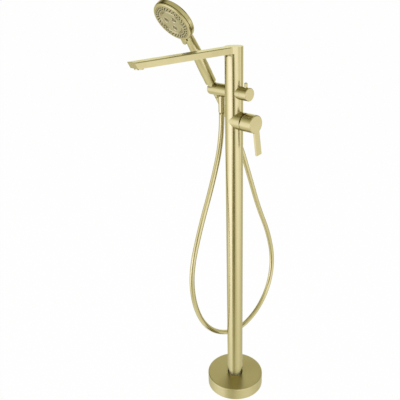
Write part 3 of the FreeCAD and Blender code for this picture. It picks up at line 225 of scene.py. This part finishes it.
def make_world():
    """Soft panels that only the light and the reflections see; the camera sees plain white."""
    world = bpy.data.worlds.new("studio")
    bpy.context.scene.world = world
    tree = cleared_tree(world)

    def reckon(operation, *values):
        return math_node(tree, operation, *values)

    def mixed(factor, first, second):
        blend = add_node(tree, "ShaderNodeMix", {"Factor": factor, "A": first, "B": second})
        return blend.outputs["Result"]

    def soft_edge(distance, half, softness):
        """1 inside the half size, falling smoothly to 0 across its edge."""
        inner, outer = half * (1 - softness), half * (1 + softness)
        return map_range(tree, distance, inner, outer, "SMOOTHSTEP", ends=(1, 0))

    direction = add_node(tree, "ShaderNodeTexCoord").outputs["Generated"]
    parts = add_node(tree, "ShaderNodeSeparateXYZ", {0: direction}).outputs
    bearing = reckon("DEGREES", reckon("ARCTAN2", parts["Y"], parts["X"]))
    height = reckon("DEGREES", reckon("ARCSINE", parts["Z"]))
    level = SURROUND[0][1]
    for (below, _), (above, there) in zip(SURROUND, SURROUND[1:]):
        level = mixed(map_range(tree, height, below, above), level, there)
    for name, (side, half_width, middle, half_height, lean, softness, brightness) in PANELS.items():
        over = reckon("SUBTRACT", height, middle)
        upright = reckon("SUBTRACT", bearing, side)
        along = reckon("SUBTRACT", upright, reckon("MULTIPLY", over, lean))
        away = reckon("ABSOLUTE", reckon("WRAP", along, 180, -180))
        share = reckon("MULTIPLY", soft_edge(away, half_width, softness),
                       soft_edge(reckon("ABSOLUTE", over), half_height, softness))
        level = mixed(share, level, brightness)
        if name == WARM_PANEL:
            warmth = share
    fall = reckon("MULTIPLY", reckon("MINIMUM", level, RED_FALLS_TO), RED_FALL)
    red = reckon("SUBTRACT", RED_SHARE, fall)
    blue = reckon("ADD", reckon("MULTIPLY", level, BLUE_RISE), BLUE_SHARE)
    blue = reckon("MULTIPLY", blue, mixed(warmth, 1, WARM_BLUE))
    colour = add_node(tree, "ShaderNodeCombineColor",
                      {"Red": reckon("MULTIPLY", level, red), "Green": level,
                       "Blue": reckon("MULTIPLY", level, blue)}).outputs["Color"]
    around = add_node(tree, "ShaderNodeBackground", {"Color": colour})
    plain_white = add_node(tree, "ShaderNodeBackground", {"Color": WHITE})
    add_camera_switch(tree, plain_white, around, "ShaderNodeOutputWorld")


def make_lamp(name, place, target, size, power):
    """Square soft light that polished pieces don't mirror."""
    lamp = bpy.data.lights.new(name, "AREA")
    lamp.shape = "SQUARE"
    lamp.size = size
    lamp.energy = power
    holder = link_object(name, lamp)
    holder.location = place
    holder.rotation_euler = (Vector(place) - Vector(target)).to_track_quat("Z", "Y").to_euler()
    holder.visible_glossy = False


bpy.context.scene.view_settings.view_transform = "Standard"
make_camera()
make_floor()
make_world()
make_lamp("overhead", place=(-0.4, -0.5, 2.6), target=(0, 0, 0.5), size=1.6, power=14)

# ---------------------------------------------------------------- finishes

GOLD = (0.90, 0.797, 0.40)
SPRAY_GOLD = (0.83, 0.745, 0.43)
BRASS = (0.76, 0.60, 0.30)
STEEL_GREY = (0.60, 0.60, 0.60)
SEAL_BLACK = (0.025, 0.025, 0.025)
NOZZLE_GREY = (0.15, 0.14, 0.11)
PLASTIC_WHITE = (0.80, 0.79, 0.76)

RELIEF_DISTANCE = 0.0002
# Drawn marks: how far they sway round a turned piece, the two noises they are made of (share of the
# lines, weight) with what these share, and how much they change the roughness and the surface.
MARK_SWAY = 0.0012
MARK_LAYERS = [(1.0, 0.6), (0.27, 0.4)]
MARK_DETAIL, MARK_ROUGHNESS, MARK_MIDDLE = 3, 0.65, 0.5
MARK_ROUGHENING = 0.16
MARK_RELIEF = 0.05
# Clouding from wiping and water: its noise, the part of the noise that counts, size and strength.
CLOUD_DETAIL, CLOUD_DISTORTION = 4, 0.6
CLOUD_FROM, CLOUD_TO = 0.40, 0.68
BRUSHED_CLOUD_SIZE, BRUSHED_HAZE = 22.0, 0.05
PLAIN_CLOUD_SIZE, PLAIN_HAZE = 40.0, 0.08
# Painted shade: how much darker one polished piece is where another one mirrors it.
MIRROR_SHADE = 0.55


def new_group(name, inputs, outputs):
    group = bpy.data.node_groups.new(name, "ShaderNodeTree")
    for socket, kind, value in inputs:
        made = group.interface.new_socket(socket, in_out="INPUT", socket_type=kind)
        if value is not None:
            made.default_value = value
    for socket, kind in outputs:
        group.interface.new_socket(socket, in_out="OUTPUT", socket_type=kind)
    return group, group.nodes.new("NodeGroupInput"), group.nodes.new("NodeGroupOutput")


def make_turned_coordinates():
    """Coordinates of a piece turned about its Z: distance from the axis, a slow sway, height."""
    group, start, end = new_group("turned_coordinates", [("Vector", "NodeSocketVector", None)],
                                  [("Vector", "NodeSocketVector")])
    parts = add_node(group, "ShaderNodeSeparateXYZ", {0: start.outputs["Vector"]}).outputs
    squares = [math_node(group, "MULTIPLY", parts[axis], parts[axis]) for axis in "XY"]
    radius = math_node(group, "SQRT", math_node(group, "ADD", *squares))
    angle = math_node(group, "ARCTAN2", parts["Y"], parts["X"])
    sway = math_node(group, "MULTIPLY", math_node(group, "SINE", angle), MARK_SWAY)
    joined = add_node(group, "ShaderNodeCombineXYZ", {"X": radius, "Y": sway, "Z": parts["Z"]})
    feed(group, end.inputs["Vector"], joined.outputs[0])
    return group


def make_brush_marks():
    """Fine drawn lines: a tone around 1, a roughness and a height."""
    group, start, end = new_group(
        "brush_marks",
        [("Vector", "NodeSocketVector", None), ("Lines", "NodeSocketFloat", 1400.0),
         ("Contrast", "NodeSocketFloat", 0.10), ("Roughness", "NodeSocketFloat", 0.20)],
        [("Tone", "NodeSocketFloat"), ("Roughness", "NodeSocketFloat"),
         ("Height", "NodeSocketFloat")])
    levels = []
    for share, weight in MARK_LAYERS:
        scale = math_node(group, "MULTIPLY", start.outputs["Lines"], share)
        lines = add_node(group, "ShaderNodeTexNoise",
                         {"Vector": start.outputs["Vector"], "Scale": scale,
                          "Detail": MARK_DETAIL, "Roughness": MARK_ROUGHNESS})
        levels.append(math_node(group, "MULTIPLY", lines.outputs["Fac"], weight))
    both = math_node(group, "ADD", *levels)
    swing = math_node(group, "SUBTRACT", both, MARK_MIDDLE)
    contrast = math_node(group, "MULTIPLY", swing, start.outputs["Contrast"])
    spread = math_node(group, "MULTIPLY", swing, MARK_ROUGHENING)
    roughness = math_node(group, "ADD", start.outputs["Roughness"], spread)
    feed(group, end.inputs["Tone"], math_node(group, "ADD", contrast, 1))
    feed(group, end.inputs["Roughness"], roughness)
    feed(group, end.inputs["Height"], both)
    return group


def make_handling():
    """Faint clouding from wiping and water, as an amount from 0 to 1."""
    group, start, end = new_group(
        "handling", [("Vector", "NodeSocketVector", None), ("Size", "NodeSocketFloat", 18.0)],
        [("Amount", "NodeSocketFloat")])
    cloud = add_node(group, "ShaderNodeTexNoise",
                     {"Vector": start.outputs["Vector"], "Scale": start.outputs["Size"],
                      "Detail": CLOUD_DETAIL, "Distortion": CLOUD_DISTORTION})
    amount = map_range(group, cloud.outputs["Fac"], CLOUD_FROM, CLOUD_TO, "SMOOTHSTEP")
    feed(group, end.inputs["Amount"], amount)
    return group


TURNED = make_turned_coordinates()
BRUSH = make_brush_marks()
HANDLING = make_handling()


def placed_group(tree, group, **inputs):
    return add_node(tree, "ShaderNodeGroup", inputs, node_tree=group)


def new_material(name, colour, metallic, roughness):
    material = bpy.data.materials.new(name)
    material.use_nodes = True
    material.diffuse_color = (*colour, 1)
    shader = material.node_tree.nodes["Principled BSDF"]
    shader.inputs["Base Color"].default_value = (*colour, 1)
    shader.inputs["Metallic"].default_value = metallic
    shader.inputs["Roughness"].default_value = roughness
    return material, material.node_tree, shader


def tinted(tree, colour, tone):
    """A colour times a tone."""
    tint = add_node(tree, "ShaderNodeMix", {"Factor": 1, "A": colour, "B": tone},
                    data_type="RGBA", blend_type="MULTIPLY")
    return tint.outputs["Result"]


def painted_mirror_shade(tree, colour, mirror_shade_share):
    """Painted shade: darker where one polished piece mirrors another, as close joints look."""
    path = add_node(tree, "ShaderNodeLightPath")
    # Painted shade: the base colour is darkened only in rays mirrored off another polished piece.
    painted_shade_loss = math_node(tree, "MULTIPLY", path.outputs["Is Glossy Ray"], mirror_shade_share)
    return tinted(tree, colour, math_node(tree, "SUBTRACT", 1, painted_shade_loss))


def handle(tree, shader, place, roughness, size, strength):
    """Roughness of a surface with the clouding of its handling."""
    cloud = placed_group(tree, HANDLING, Vector=place, Size=size)
    haze = math_node(tree, "MULTIPLY", cloud.outputs["Amount"], strength)
    feed(tree, shader.inputs["Roughness"], math_node(tree, "ADD", roughness, haze))


def relieve(tree, shader, height, strength):
    """Fine relief of a surface."""
    relief = add_node(tree, "ShaderNodeBump",
                      {"Height": height, "Strength": strength, "Distance": RELIEF_DISTANCE})
    feed(tree, shader.inputs["Normal"], relief.outputs[0])


def brushed(name, colour, centre, turn, lines, stretch=None, contrast=0.10, roughness=0.20,
            mirror_shade_share=MIRROR_SHADE):
    """Brushed metal. Marks run round a centre line (turned pieces), or along the stretch given."""
    material, tree, shader = new_material(name, colour, 1, roughness)
    place = add_node(tree, "ShaderNodeTexCoord").outputs["Object"]
    centred = add_node(tree, "ShaderNodeMapping",
                       {"Vector": place, "Location": centre, "Rotation": turn},
                       vector_type="TEXTURE")
    if stretch is None:
        drawn = placed_group(tree, TURNED, Vector=centred.outputs[0])
    else:
        drawn = add_node(tree, "ShaderNodeMapping",
                         {"Vector": centred.outputs[0], "Scale": stretch})
    marks = placed_group(tree, BRUSH, Vector=drawn.outputs[0], Lines=lines, Contrast=contrast,
                         Roughness=roughness).outputs
    tone = tinted(tree, (*colour, 1), marks["Tone"])
    # Painted shade: the colour is darkened where another polished piece mirrors this one.
    feed(tree, shader.inputs["Base Color"], painted_mirror_shade(tree, tone, mirror_shade_share))
    handle(tree, shader, place, marks["Roughness"], BRUSHED_CLOUD_SIZE, BRUSHED_HAZE)
    relieve(tree, shader, marks["Height"], MARK_RELIEF)
    return material


def plain(name, colour, metallic, roughness, grain=900.0, depth=0.1):
    """Moulded or cast finish with a fine grain."""
    material, tree, shader = new_material(name, colour, metallic, roughness)
    if metallic:
        # Painted shade: the colour is darkened where another polished piece mirrors this one.
        feed(tree, shader.inputs["Base Color"], painted_mirror_shade(tree, (*colour, 1), MIRROR_SHADE))
    place = add_node(tree, "ShaderNodeTexCoord").outputs["Object"]
    noise = add_node(tree, "ShaderNodeTexNoise", {"Vector": place, "Scale": grain})
    handle(tree, shader, place, roughness, PLAIN_CLOUD_SIZE, PLAIN_HAZE)
    relieve(tree, shader, noise.outputs["Fac"], depth)
    return material


gold_column = brushed("gold_column", GOLD, ORIGIN, UPRIGHT, lines=1500)
# The base gets a smaller share of painted shade in its mirror images.
gold_base = brushed("gold_base", GOLD, ORIGIN, UPRIGHT, lines=1500, contrast=0.18, roughness=0.30,
                    mirror_shade_share=0.2)
gold_mixer = brushed("gold_mixer", GOLD, MIXER_AXIS, SIDEWAYS, lines=1800, contrast=0.14)
gold_diverter = brushed("gold_diverter", GOLD, DIVERTER_AXIS, SIDEWAYS, lines=1800, contrast=0.14)
gold_spout = brushed("gold_spout", GOLD, ORIGIN, UPRIGHT, lines=1, stretch=(900, 25, 900))
gold_grip = brushed("gold_grip", GOLD, SHOWER_AXIS, GRIP_TURN, lines=1600, contrast=0.12)
gold_face = brushed("gold_face", GOLD, FACE_CENTRE, FACE_TURN, lines=1600, contrast=0.12)
gold_spray = brushed("gold_spray", SPRAY_GOLD, FACE_CENTRE, FACE_TURN, lines=1600, roughness=0.24)
gold_small = brushed("gold_small", GOLD, HOSE_OUTLET_AXIS, UPRIGHT, lines=1800)
raw_brass = brushed("raw_brass", BRASS, ORIGIN, UPRIGHT, lines=1500, contrast=0.2)
steel = brushed("steel", STEEL_GREY, ORIGIN, UPRIGHT, lines=1200, contrast=0.2)
seal = plain("seal_rubber", SEAL_BLACK, metallic=0, roughness=0.6)
nozzle = plain("nozzle_rubber", NOZZLE_GREY, metallic=0, roughness=0.5)
inner_plastic = plain("inner_plastic", PLASTIC_WHITE, metallic=0, roughness=0.42)
hose_gold = plain("hose_gold", GOLD, metallic=0.95, roughness=0.16, grain=500.0, depth=0.01)

FINISHES = {
    gold_column: ["column_tube"],
    gold_base: ["base_cover"],
    gold_mixer: ["mixer_handle", "handle_plug"],
    gold_diverter: ["diverter_bonnet", "diverter_knob", "diverter_pin", "holder_arm"],
    gold_spout: ["spout", "outlet_housing"],
    gold_grip: ["handset_shell", "cone_nut", "cone_sleeve"],
    gold_face: ["selector_ring"],
    gold_spray: ["spray_face"],
    gold_small: ["hose_nut", "outlet_ferrule"],
    raw_brass: ["inlet_block", "valve_body", "diverter_body", "cartridge_nut", "cartridge_stem",
                "cartridge_rotor", "diverter_spindle", "arm_nipple", "outlet_nipple",
                "outlet_hose_tail", "cone_hose_tail", "hot_pipe", "cold_pipe", "mixed_riser",
                "spout_riser"],
    steel: ["floor_flange", "clamp_screws", "handle_screw", "rotor_pin"],
    seal: ["cover_seal", "spout_seal", "outlet_washer", "cartridge_gasket", "spindle_seal",
           "outlet_hose_washer", "cone_washer"],
    nozzle: ["spray_nozzles"],
    inner_plastic: ["mixer_cartridge", "outlet_insert", "holder_bush", "handset_inlet",
                    "inlet_filter", "spray_distributor"],
    hose_gold: ["shower_hose"],
}
for material, names in FINISHES.items():
    for name in names:
        mesh = nodes[name].data
        mesh.materials.clear()
        mesh.materials.append(material)

# The brushed foot of the column shows no clear mirror image of the base.
nodes["base_cover"].visible_glossy = False

# ---------------------------------------------------------------- hose

# The route of the CAD model's hose, in metres; the last run lies on the hand shower's axis.
HOSE_ROUTE = [
    (-0.0434, 0, 0.8422), (-0.0434, 0, 0.772), (-0.047, -0.034, 0.656),
    (-0.051, -0.082, 0.534), (-0.054, -0.116, 0.418), (-0.055, -0.112, 0.318),
    (-0.056, -0.078, 0.224), (-0.057, -0.016, 0.156), (-0.058, 0.072, 0.116),
    (-0.060, 0.164, 0.140), (-0.061, 0.226, 0.208), (-0.062, 0.246, 0.304),
    (-0.063, 0.222, 0.408), (-0.065, 0.172, 0.516), (-0.067, 0.132, 0.630),
    (-0.070, 0.0934, 0.7405), (-0.070, 0.02385, 0.8585),
]
HOSE_RADIUS = 0.007
HOSE_SIDES = 24
HOSE_STEPS = 16
HOSE_ORDER = 3
# Shares of the length between which the weights worked out for the hose rise from 0 to 1.
FOLLOWS_FROM, FOLLOWS_WHOLLY = 0.56, 0.97


def smooth_line(points, steps, order):
    """Points along the smooth line that the control points make."""
    curve = bpy.data.curves.new("line", "CURVE")
    curve.dimensions = "3D"
    spline = curve.splines.new("NURBS")
    spline.points.add(len(points) - 1)
    for control, point in zip(spline.points, points):
        control.co = (*point, 1)
    spline.order_u = order
    spline.use_endpoint_u = True
    spline.resolution_u = steps
    return [vertex.co.copy() for vertex in evaluated_mesh(link_object("line", curve)).vertices]


def tube_mesh(name, line, radius, sides):
    """Closed tube of one radius along a line, without twist."""
    points = []
    faces = []
    across = Vector((1, 0, 0))
    for index, point in enumerate(line):
        ahead = (line[min(index + 1, len(line) - 1)] - line[max(index - 1, 0)]).normalized()
        across = (across - ahead * across.dot(ahead)).normalized()
        other = ahead.cross(across)
        for side in range(sides):
            angle = 2 * math.pi * side / sides
            points.append(point + (across * math.cos(angle) + other * math.sin(angle)) * radius)
    for ring in range(len(line) - 1):
        for side in range(sides):
            following = (side + 1) % sides
            faces.append((ring * sides + side, ring * sides + following,
                          (ring + 1) * sides + following, (ring + 1) * sides + side))
    last = (len(line) - 1) * sides
    faces.append(tuple(reversed(range(sides))))
    faces.append(tuple(range(last, last + sides)))
    return new_mesh(name, points, faces)


def make_hose():
    line = smooth_line(HOSE_ROUTE, HOSE_STEPS, HOSE_ORDER)
    mesh = tube_mesh("hose", line, HOSE_RADIUS, HOSE_SIDES)
    mesh.polygons.foreach_set("use_smooth", [len(face.vertices) == 4 for face in mesh.polygons])
    hose = new_piece("hose", mesh, hose_gold)
    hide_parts("shower_hose")
    travelled = [0.0]
    for before, after in zip(line, line[1:]):
        travelled.append(travelled[-1] + (after - before).length)
    length = travelled[-1]
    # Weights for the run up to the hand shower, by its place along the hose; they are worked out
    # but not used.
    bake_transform(hose)
    weights = []
    for distance in travelled:
        share = (distance / length - FOLLOWS_FROM) / (FOLLOWS_WHOLLY - FOLLOWS_FROM)
        share = min(max(share, 0), 1)
        weights += [share * share * (3 - 2 * share)] * HOSE_SIDES


make_hose()

# ---------------------------------------------------------------- mixer's inner shroud

# Ball that the shroud is a zone of, its wall, its hole, where the zone starts and ends along the
# mixer's axis, and its facets: round the axis, and along the zone.
SHROUD_BALL, SHROUD_WALL, SHROUD_HOLE = 0.0193, 0.0008, 0.0093
SHROUD_BACK, SHROUD_FRONT = -0.00065, 0.0100
SHROUD_SIDES, SHROUD_STEPS = 96, 12


def turned_piece(name, outline, sides, axis_turn, centre, material):
    """Closed ring turned from an outline of (radius, height) points, listed counter-clockwise."""
    points = []
    faces = []
    for side in range(sides):
        angle = 2 * math.pi * side / sides
        points += [(radius * math.cos(angle), radius * math.sin(angle), height)
                   for radius, height in outline]
    count = len(outline)
    for side in range(sides):
        following = (side + 1) % sides
        for index in range(count):
            after = (index + 1) % count
            faces.append((side * count + index, following * count + index,
                          following * count + after, side * count + after))
    mesh = new_mesh(name, points, faces, Matrix.Translation(centre) @ axis_turn.to_4x4())
    piece = new_piece(name, mesh, material)
    shade_smooth(mesh, sharp_from=35)
    return piece


def make_mixer_shroud():
    """Round shroud in the handle's gap, a ball zone about the pin that the lever tilts on."""

    def arc(ball, start, end):
        heights = [start + (end - start) * step / SHROUD_STEPS for step in range(SHROUD_STEPS + 1)]
        return [(math.sqrt(ball ** 2 - height ** 2), height) for height in heights]

    outline = [(SHROUD_HOLE, SHROUD_BACK), *arc(SHROUD_BALL, SHROUD_BACK, SHROUD_FRONT),
               *reversed(arc(SHROUD_BALL - SHROUD_WALL, 0, SHROUD_FRONT)), (SHROUD_HOLE, 0)]
    shroud = turned_piece("mixer_shroud", outline, SHROUD_SIDES,
                          Matrix.Rotation(math.radians(90), 3, "Y"), MIXER_PIN, gold_mixer)
    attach(shroud, "mixer_rotor")


make_mixer_shroud()

# ---------------------------------------------------------------- spout

SPOUT_EASING, SPOUT_EASING_STEPS = 0.0020, 4
# The bar ends here, at its blend into the round head.
SPOUT_JOINT = -0.0230
# Lengths from the tip in which the bar's lowest points and the tip's own edges are looked for.
TIP_REACH, TIP_EDGE_REACH = 0.02, 0.012
# Edges with a smaller bend than this are facets of a round surface.
LEAST_BEND = math.radians(40)
FLAT_WITHIN = math.radians(0.5)
MERGE_WITHIN, TOUCH_WITHIN = 1e-6, 1e-5


def make_spout():
    """The spout with its long outer edges and its tip eased."""
    shape = bmesh.new()
    shape.from_mesh(nodes["spout"].data)
    bmesh.ops.remove_doubles(shape, verts=shape.verts, dist=MERGE_WITHIN)
    bmesh.ops.dissolve_limit(shape, angle_limit=FLAT_WITHIN, verts=shape.verts, edges=shape.edges)
    low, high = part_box("spout")
    corners = [vertex.co for vertex in shape.verts if vertex.co.y < SPOUT_JOINT]
    half_width = max(abs(corner.x) for corner in corners)
    tip_low = min(corner.z for corner in corners if corner.y < low[1] + TIP_REACH)

    def outer(edge):
        if len(edge.link_faces) != 2 or not edge.is_convex or edge.calc_face_angle() < LEAST_BEND:
            return False
        ends = [vertex.co for vertex in edge.verts]
        on_bar = all(end.y < SPOUT_JOINT for end in ends)
        on_top = all(end.z > high[2] - TOUCH_WITHIN for end in ends)
        beside = all(abs(end.x) > half_width - TOUCH_WITHIN for end in ends)
        below = all(end.z < tip_low + TOUCH_WITHIN for end in ends)
        at_tip = all(end.y < low[1] + TIP_EDGE_REACH for end in ends)
        return on_bar and (on_top or (beside and below) or at_tip)

    bmesh.ops.bevel(shape, geom=[edge for edge in shape.edges if outer(edge)], offset=SPOUT_EASING,
                    offset_type="OFFSET", segments=SPOUT_EASING_STEPS, profile=0.5, affect="EDGES",
                    clamp_overlap=False)
    mesh = bpy.data.meshes.new("spout_bar")
    shape.to_mesh(mesh)
    shape.free()
    shade_smooth(mesh, sharp_from=35)
    rough = new_piece("spout_bar", mesh, gold_spout)
    even = rough.modifiers.new("even", "WEIGHTED_NORMAL")
    even.keep_sharp = True
    bar = new_piece("spout_bar", evaluated_mesh(rough), gold_spout)
    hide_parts("spout")
    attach(bar, "stand")


make_spout()

# ---------------------------------------------------------------- spray face and nozzles

FACE_PLACE = Matrix.Translation(FACE_CENTRE) @ Matrix.Rotation(FACE_TURN[0], 4, "X")
# Height of the plate's front over the face's centre, and of its back.
SPRAY_PLANE, SPRAY_BACK = 0.0048, 0.0019
SPRAY_RADIUS = 0.0444
SPRAY_SIDES, SPRAY_RINGS = 144, 88
# Two round grooves with a ridge between: radius, half width, height.
FACE_RINGS = [(0.0282, 0.0011, -0.0012), (0.0316, 0.0011, -0.0012), (0.0299, 0.0008, 0.0005)]
# Rounding of the plate's edge.
EDGE_ROUNDING, EDGE_START = 0.0006, 0.0438
# Three dishes: distance from the face's centre, radius, depth, and width of the sloping wall. Their
# rim: radius, half width, height.
DISH_PLACE = 0.0150
DISH_BEARINGS = [math.radians(bearing) for bearing in (-90, 30, 150)]
DISH_RADIUS, DISH_DEPTH, DISH_SLOPE = 0.0070, 0.0007, 0.0008
DISH_RIM = (0.0078, 0.0009, 0.0006)

NOZZLE_COUNT = 32
TIP_RADIUS, TIP_HEIGHT = 0.00115, 0.0019
TIP_SIDES = 12
# Shares: end of a tip against its foot, and bore against the end.
TIP_TAPER, BORE_SHARE = 0.8, 0.55


def swell(place, centre, half):
    """Soft ridge: 1 at its centre and 0 from its half width on."""
    share = (place - centre) / half
    return (1 - share * share) ** 2 if abs(share) < 1 else 0.0


def spray_height(x, y):
    """Front of the spray face: two round grooves with a ridge between, and three rimmed dishes."""
    radius = math.hypot(x, y)
    height = SPRAY_PLANE
    for centre, half, rise in FACE_RINGS:
        height += rise * swell(radius, centre, half)
    for bearing in DISH_BEARINGS:
        away = math.hypot(x - DISH_PLACE * math.cos(bearing), y - DISH_PLACE * math.sin(bearing))
        rim, half, rise = DISH_RIM
        height += rise * swell(away, rim, half)
        if away < DISH_RADIUS:
            height -= DISH_DEPTH * min(1, (DISH_RADIUS - away) / DISH_SLOPE)
    if radius > EDGE_START:
        height -= EDGE_ROUNDING - math.sqrt(max(EDGE_ROUNDING ** 2 - (radius - EDGE_START) ** 2, 0))
    return height


def make_spray_face():
    """Round plate with its front shaped as a relief on a fine round grid."""
    sides, rings = SPRAY_SIDES, SPRAY_RINGS
    points = [(0, 0, spray_height(0, 0))]
    faces = []
    for ring in range(1, rings + 1):
        radius = SPRAY_RADIUS * ring / rings
        for side in range(sides):
            x = radius * math.cos(2 * math.pi * side / sides)
            y = radius * math.sin(2 * math.pi * side / sides)
            points.append((x, y, spray_height(x, y)))
    points += [(x, y, SPRAY_BACK) for x, y, height in points[-sides:]]
    points.append((0, 0, SPRAY_BACK))
    for side in range(sides):
        following = (side + 1) % sides
        faces.append((0, 1 + side, 1 + following))
        for ring in range(rings):
            first = 1 + ring * sides
            faces.append((first + side, first + sides + side,
                          first + sides + following, first + following))
        last = 1 + rings * sides
        faces.append((last + following, last + side, len(points) - 1))
    mesh = new_mesh("spray_plate", points, faces, FACE_PLACE)
    plate = new_piece("spray_plate", mesh, gold_spray)
    shade_smooth(mesh, sharp_from=40)
    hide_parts("spray_face")
    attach(plate, "handset")


def make_nozzle_tree():
    """Rubber tips on two staggered rings and in the three dishes."""
    tree = bpy.data.node_groups.new("spray_nozzle_rings", "GeometryNodeTree")
    tree.is_modifier = True
    sizes = [("Ring Count", "Int", NOZZLE_COUNT), ("Outer Ring", "Float", 0.0412),
             ("Inner Ring", "Float", 0.0364), ("Tip Radius", "Float", TIP_RADIUS),
             ("Tip Height", "Float", TIP_HEIGHT), ("Bore Depth", "Float", 0.0007),
             ("Plane", "Float", SPRAY_PLANE - 0.0005), ("Dish Place", "Float", DISH_PLACE),
             ("Dish Ring", "Float", 0.0044), ("Dish Count", "Int", 6),
             ("Dish Tip Radius", "Float", 0.0008), ("Dish Plane", "Float", SPRAY_PLANE - 0.0012)]
    for name, kind, value in sizes:
        made = tree.interface.new_socket(name, in_out="INPUT", socket_type="NodeSocket" + kind)
        made.default_value = value
    tree.interface.new_socket("Geometry", in_out="OUTPUT", socket_type="NodeSocketGeometry")
    size = tree.nodes.new("NodeGroupInput").outputs
    end = tree.nodes.new("NodeGroupOutput")

    def tip(radius):
        """Tapered tip with a blind bore in its end."""
        end_radius = math_node(tree, "MULTIPLY", radius, TIP_TAPER)
        cone = add_node(tree, "GeometryNodeMeshCone",
                        {"Vertices": TIP_SIDES, "Radius Bottom": radius, "Radius Top": end_radius,
                         "Depth": size["Tip Height"]}).outputs
        lip = add_node(tree, "GeometryNodeExtrudeMesh",
                       {"Mesh": cone["Mesh"], "Selection": cone["Top"], "Offset Scale": 0},
                       mode="FACES").outputs
        narrow = add_node(tree, "GeometryNodeScaleElements",
                          {"Geometry": lip["Mesh"], "Selection": lip["Top"],
                           "Scale": BORE_SHARE}).outputs
        inward = math_node(tree, "MULTIPLY", size["Bore Depth"], -1)
        bore = add_node(tree, "GeometryNodeExtrudeMesh",
                        {"Mesh": narrow["Geometry"], "Selection": lip["Top"],
                         "Offset Scale": inward}, mode="FACES").outputs
        return bore["Mesh"]

    def circle(count, radius, turn):
        ring = add_node(tree, "GeometryNodeMeshCircle", {"Vertices": count, "Radius": radius})
        placed = add_node(tree, "GeometryNodeTransform",
                          {"Geometry": ring.outputs["Mesh"], "Rotation": (0, 0, turn)})
        return placed.outputs["Geometry"]

    def realised(instances):
        made = add_node(tree, "GeometryNodeRealizeInstances", {"Geometry": instances})
        return made.outputs["Geometry"]

    def copies(points, shape):
        spread = add_node(tree, "GeometryNodeInstanceOnPoints",
                          {"Points": points, "Instance": shape})
        return realised(spread.outputs["Instances"])

    def raised(geometry, height):
        lift = add_node(tree, "ShaderNodeCombineXYZ", {"Z": height})
        placed = add_node(tree, "GeometryNodeTransform",
                          {"Geometry": geometry, "Translation": lift.outputs[0]})
        return placed.outputs["Geometry"]

    large = tip(size["Tip Radius"])
    small = tip(size["Dish Tip Radius"])
    stagger = math.pi / NOZZLE_COUNT
    outer_ring = circle(size["Ring Count"], size["Outer Ring"], 0)
    inner_ring = circle(size["Ring Count"], size["Inner Ring"], stagger)
    dishes = circle(len(DISH_BEARINGS), size["Dish Place"], DISH_BEARINGS[0])
    cluster = circle(size["Dish Count"], size["Dish Ring"], 0)
    parts = [
        raised(copies(outer_ring, large), size["Plane"]),
        raised(copies(inner_ring, large), size["Plane"]),
        raised(copies(copies(dishes, cluster), small), size["Dish Plane"]),
        raised(copies(dishes, small), size["Dish Plane"]),
    ]
    joined = tree.nodes.new("GeometryNodeJoinGeometry")
    for part in parts:
        feed(tree, joined.inputs["Geometry"], part)
    finish = add_node(tree, "GeometryNodeSetMaterial",
                      {"Geometry": realised(joined.outputs["Geometry"]), "Material": nozzle})
    feed(tree, end.inputs["Geometry"], finish.outputs["Geometry"])
    return tree


def grown(name, tree, sizes):
    """Plain mesh that a tree of geometry nodes makes with the sizes given by name."""
    holder = link_object(name, bpy.data.meshes.new(name))
    modifier = holder.modifiers.new(name, "NODES")
    modifier.node_group = tree
    for socket in tree.interface.items_tree:
        if socket.in_out == "INPUT" and socket.name in sizes:
            modifier[socket.identifier] = sizes[socket.name]
    mesh = evaluated_mesh(holder)
    mesh.name = name
    return mesh


def make_spray_nozzles():
    sizes = {"Tip Radius": TIP_RADIUS, "Tip Height": TIP_HEIGHT}
    mesh = grown("spray_tips", make_nozzle_tree(), sizes)
    mesh.transform(FACE_PLACE)
    mesh.update()
    tips = new_piece("spray_tips", mesh, nozzle)
    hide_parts("spray_nozzles")
    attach(tips, "handset")


make_spray_face()
make_spray_nozzles()
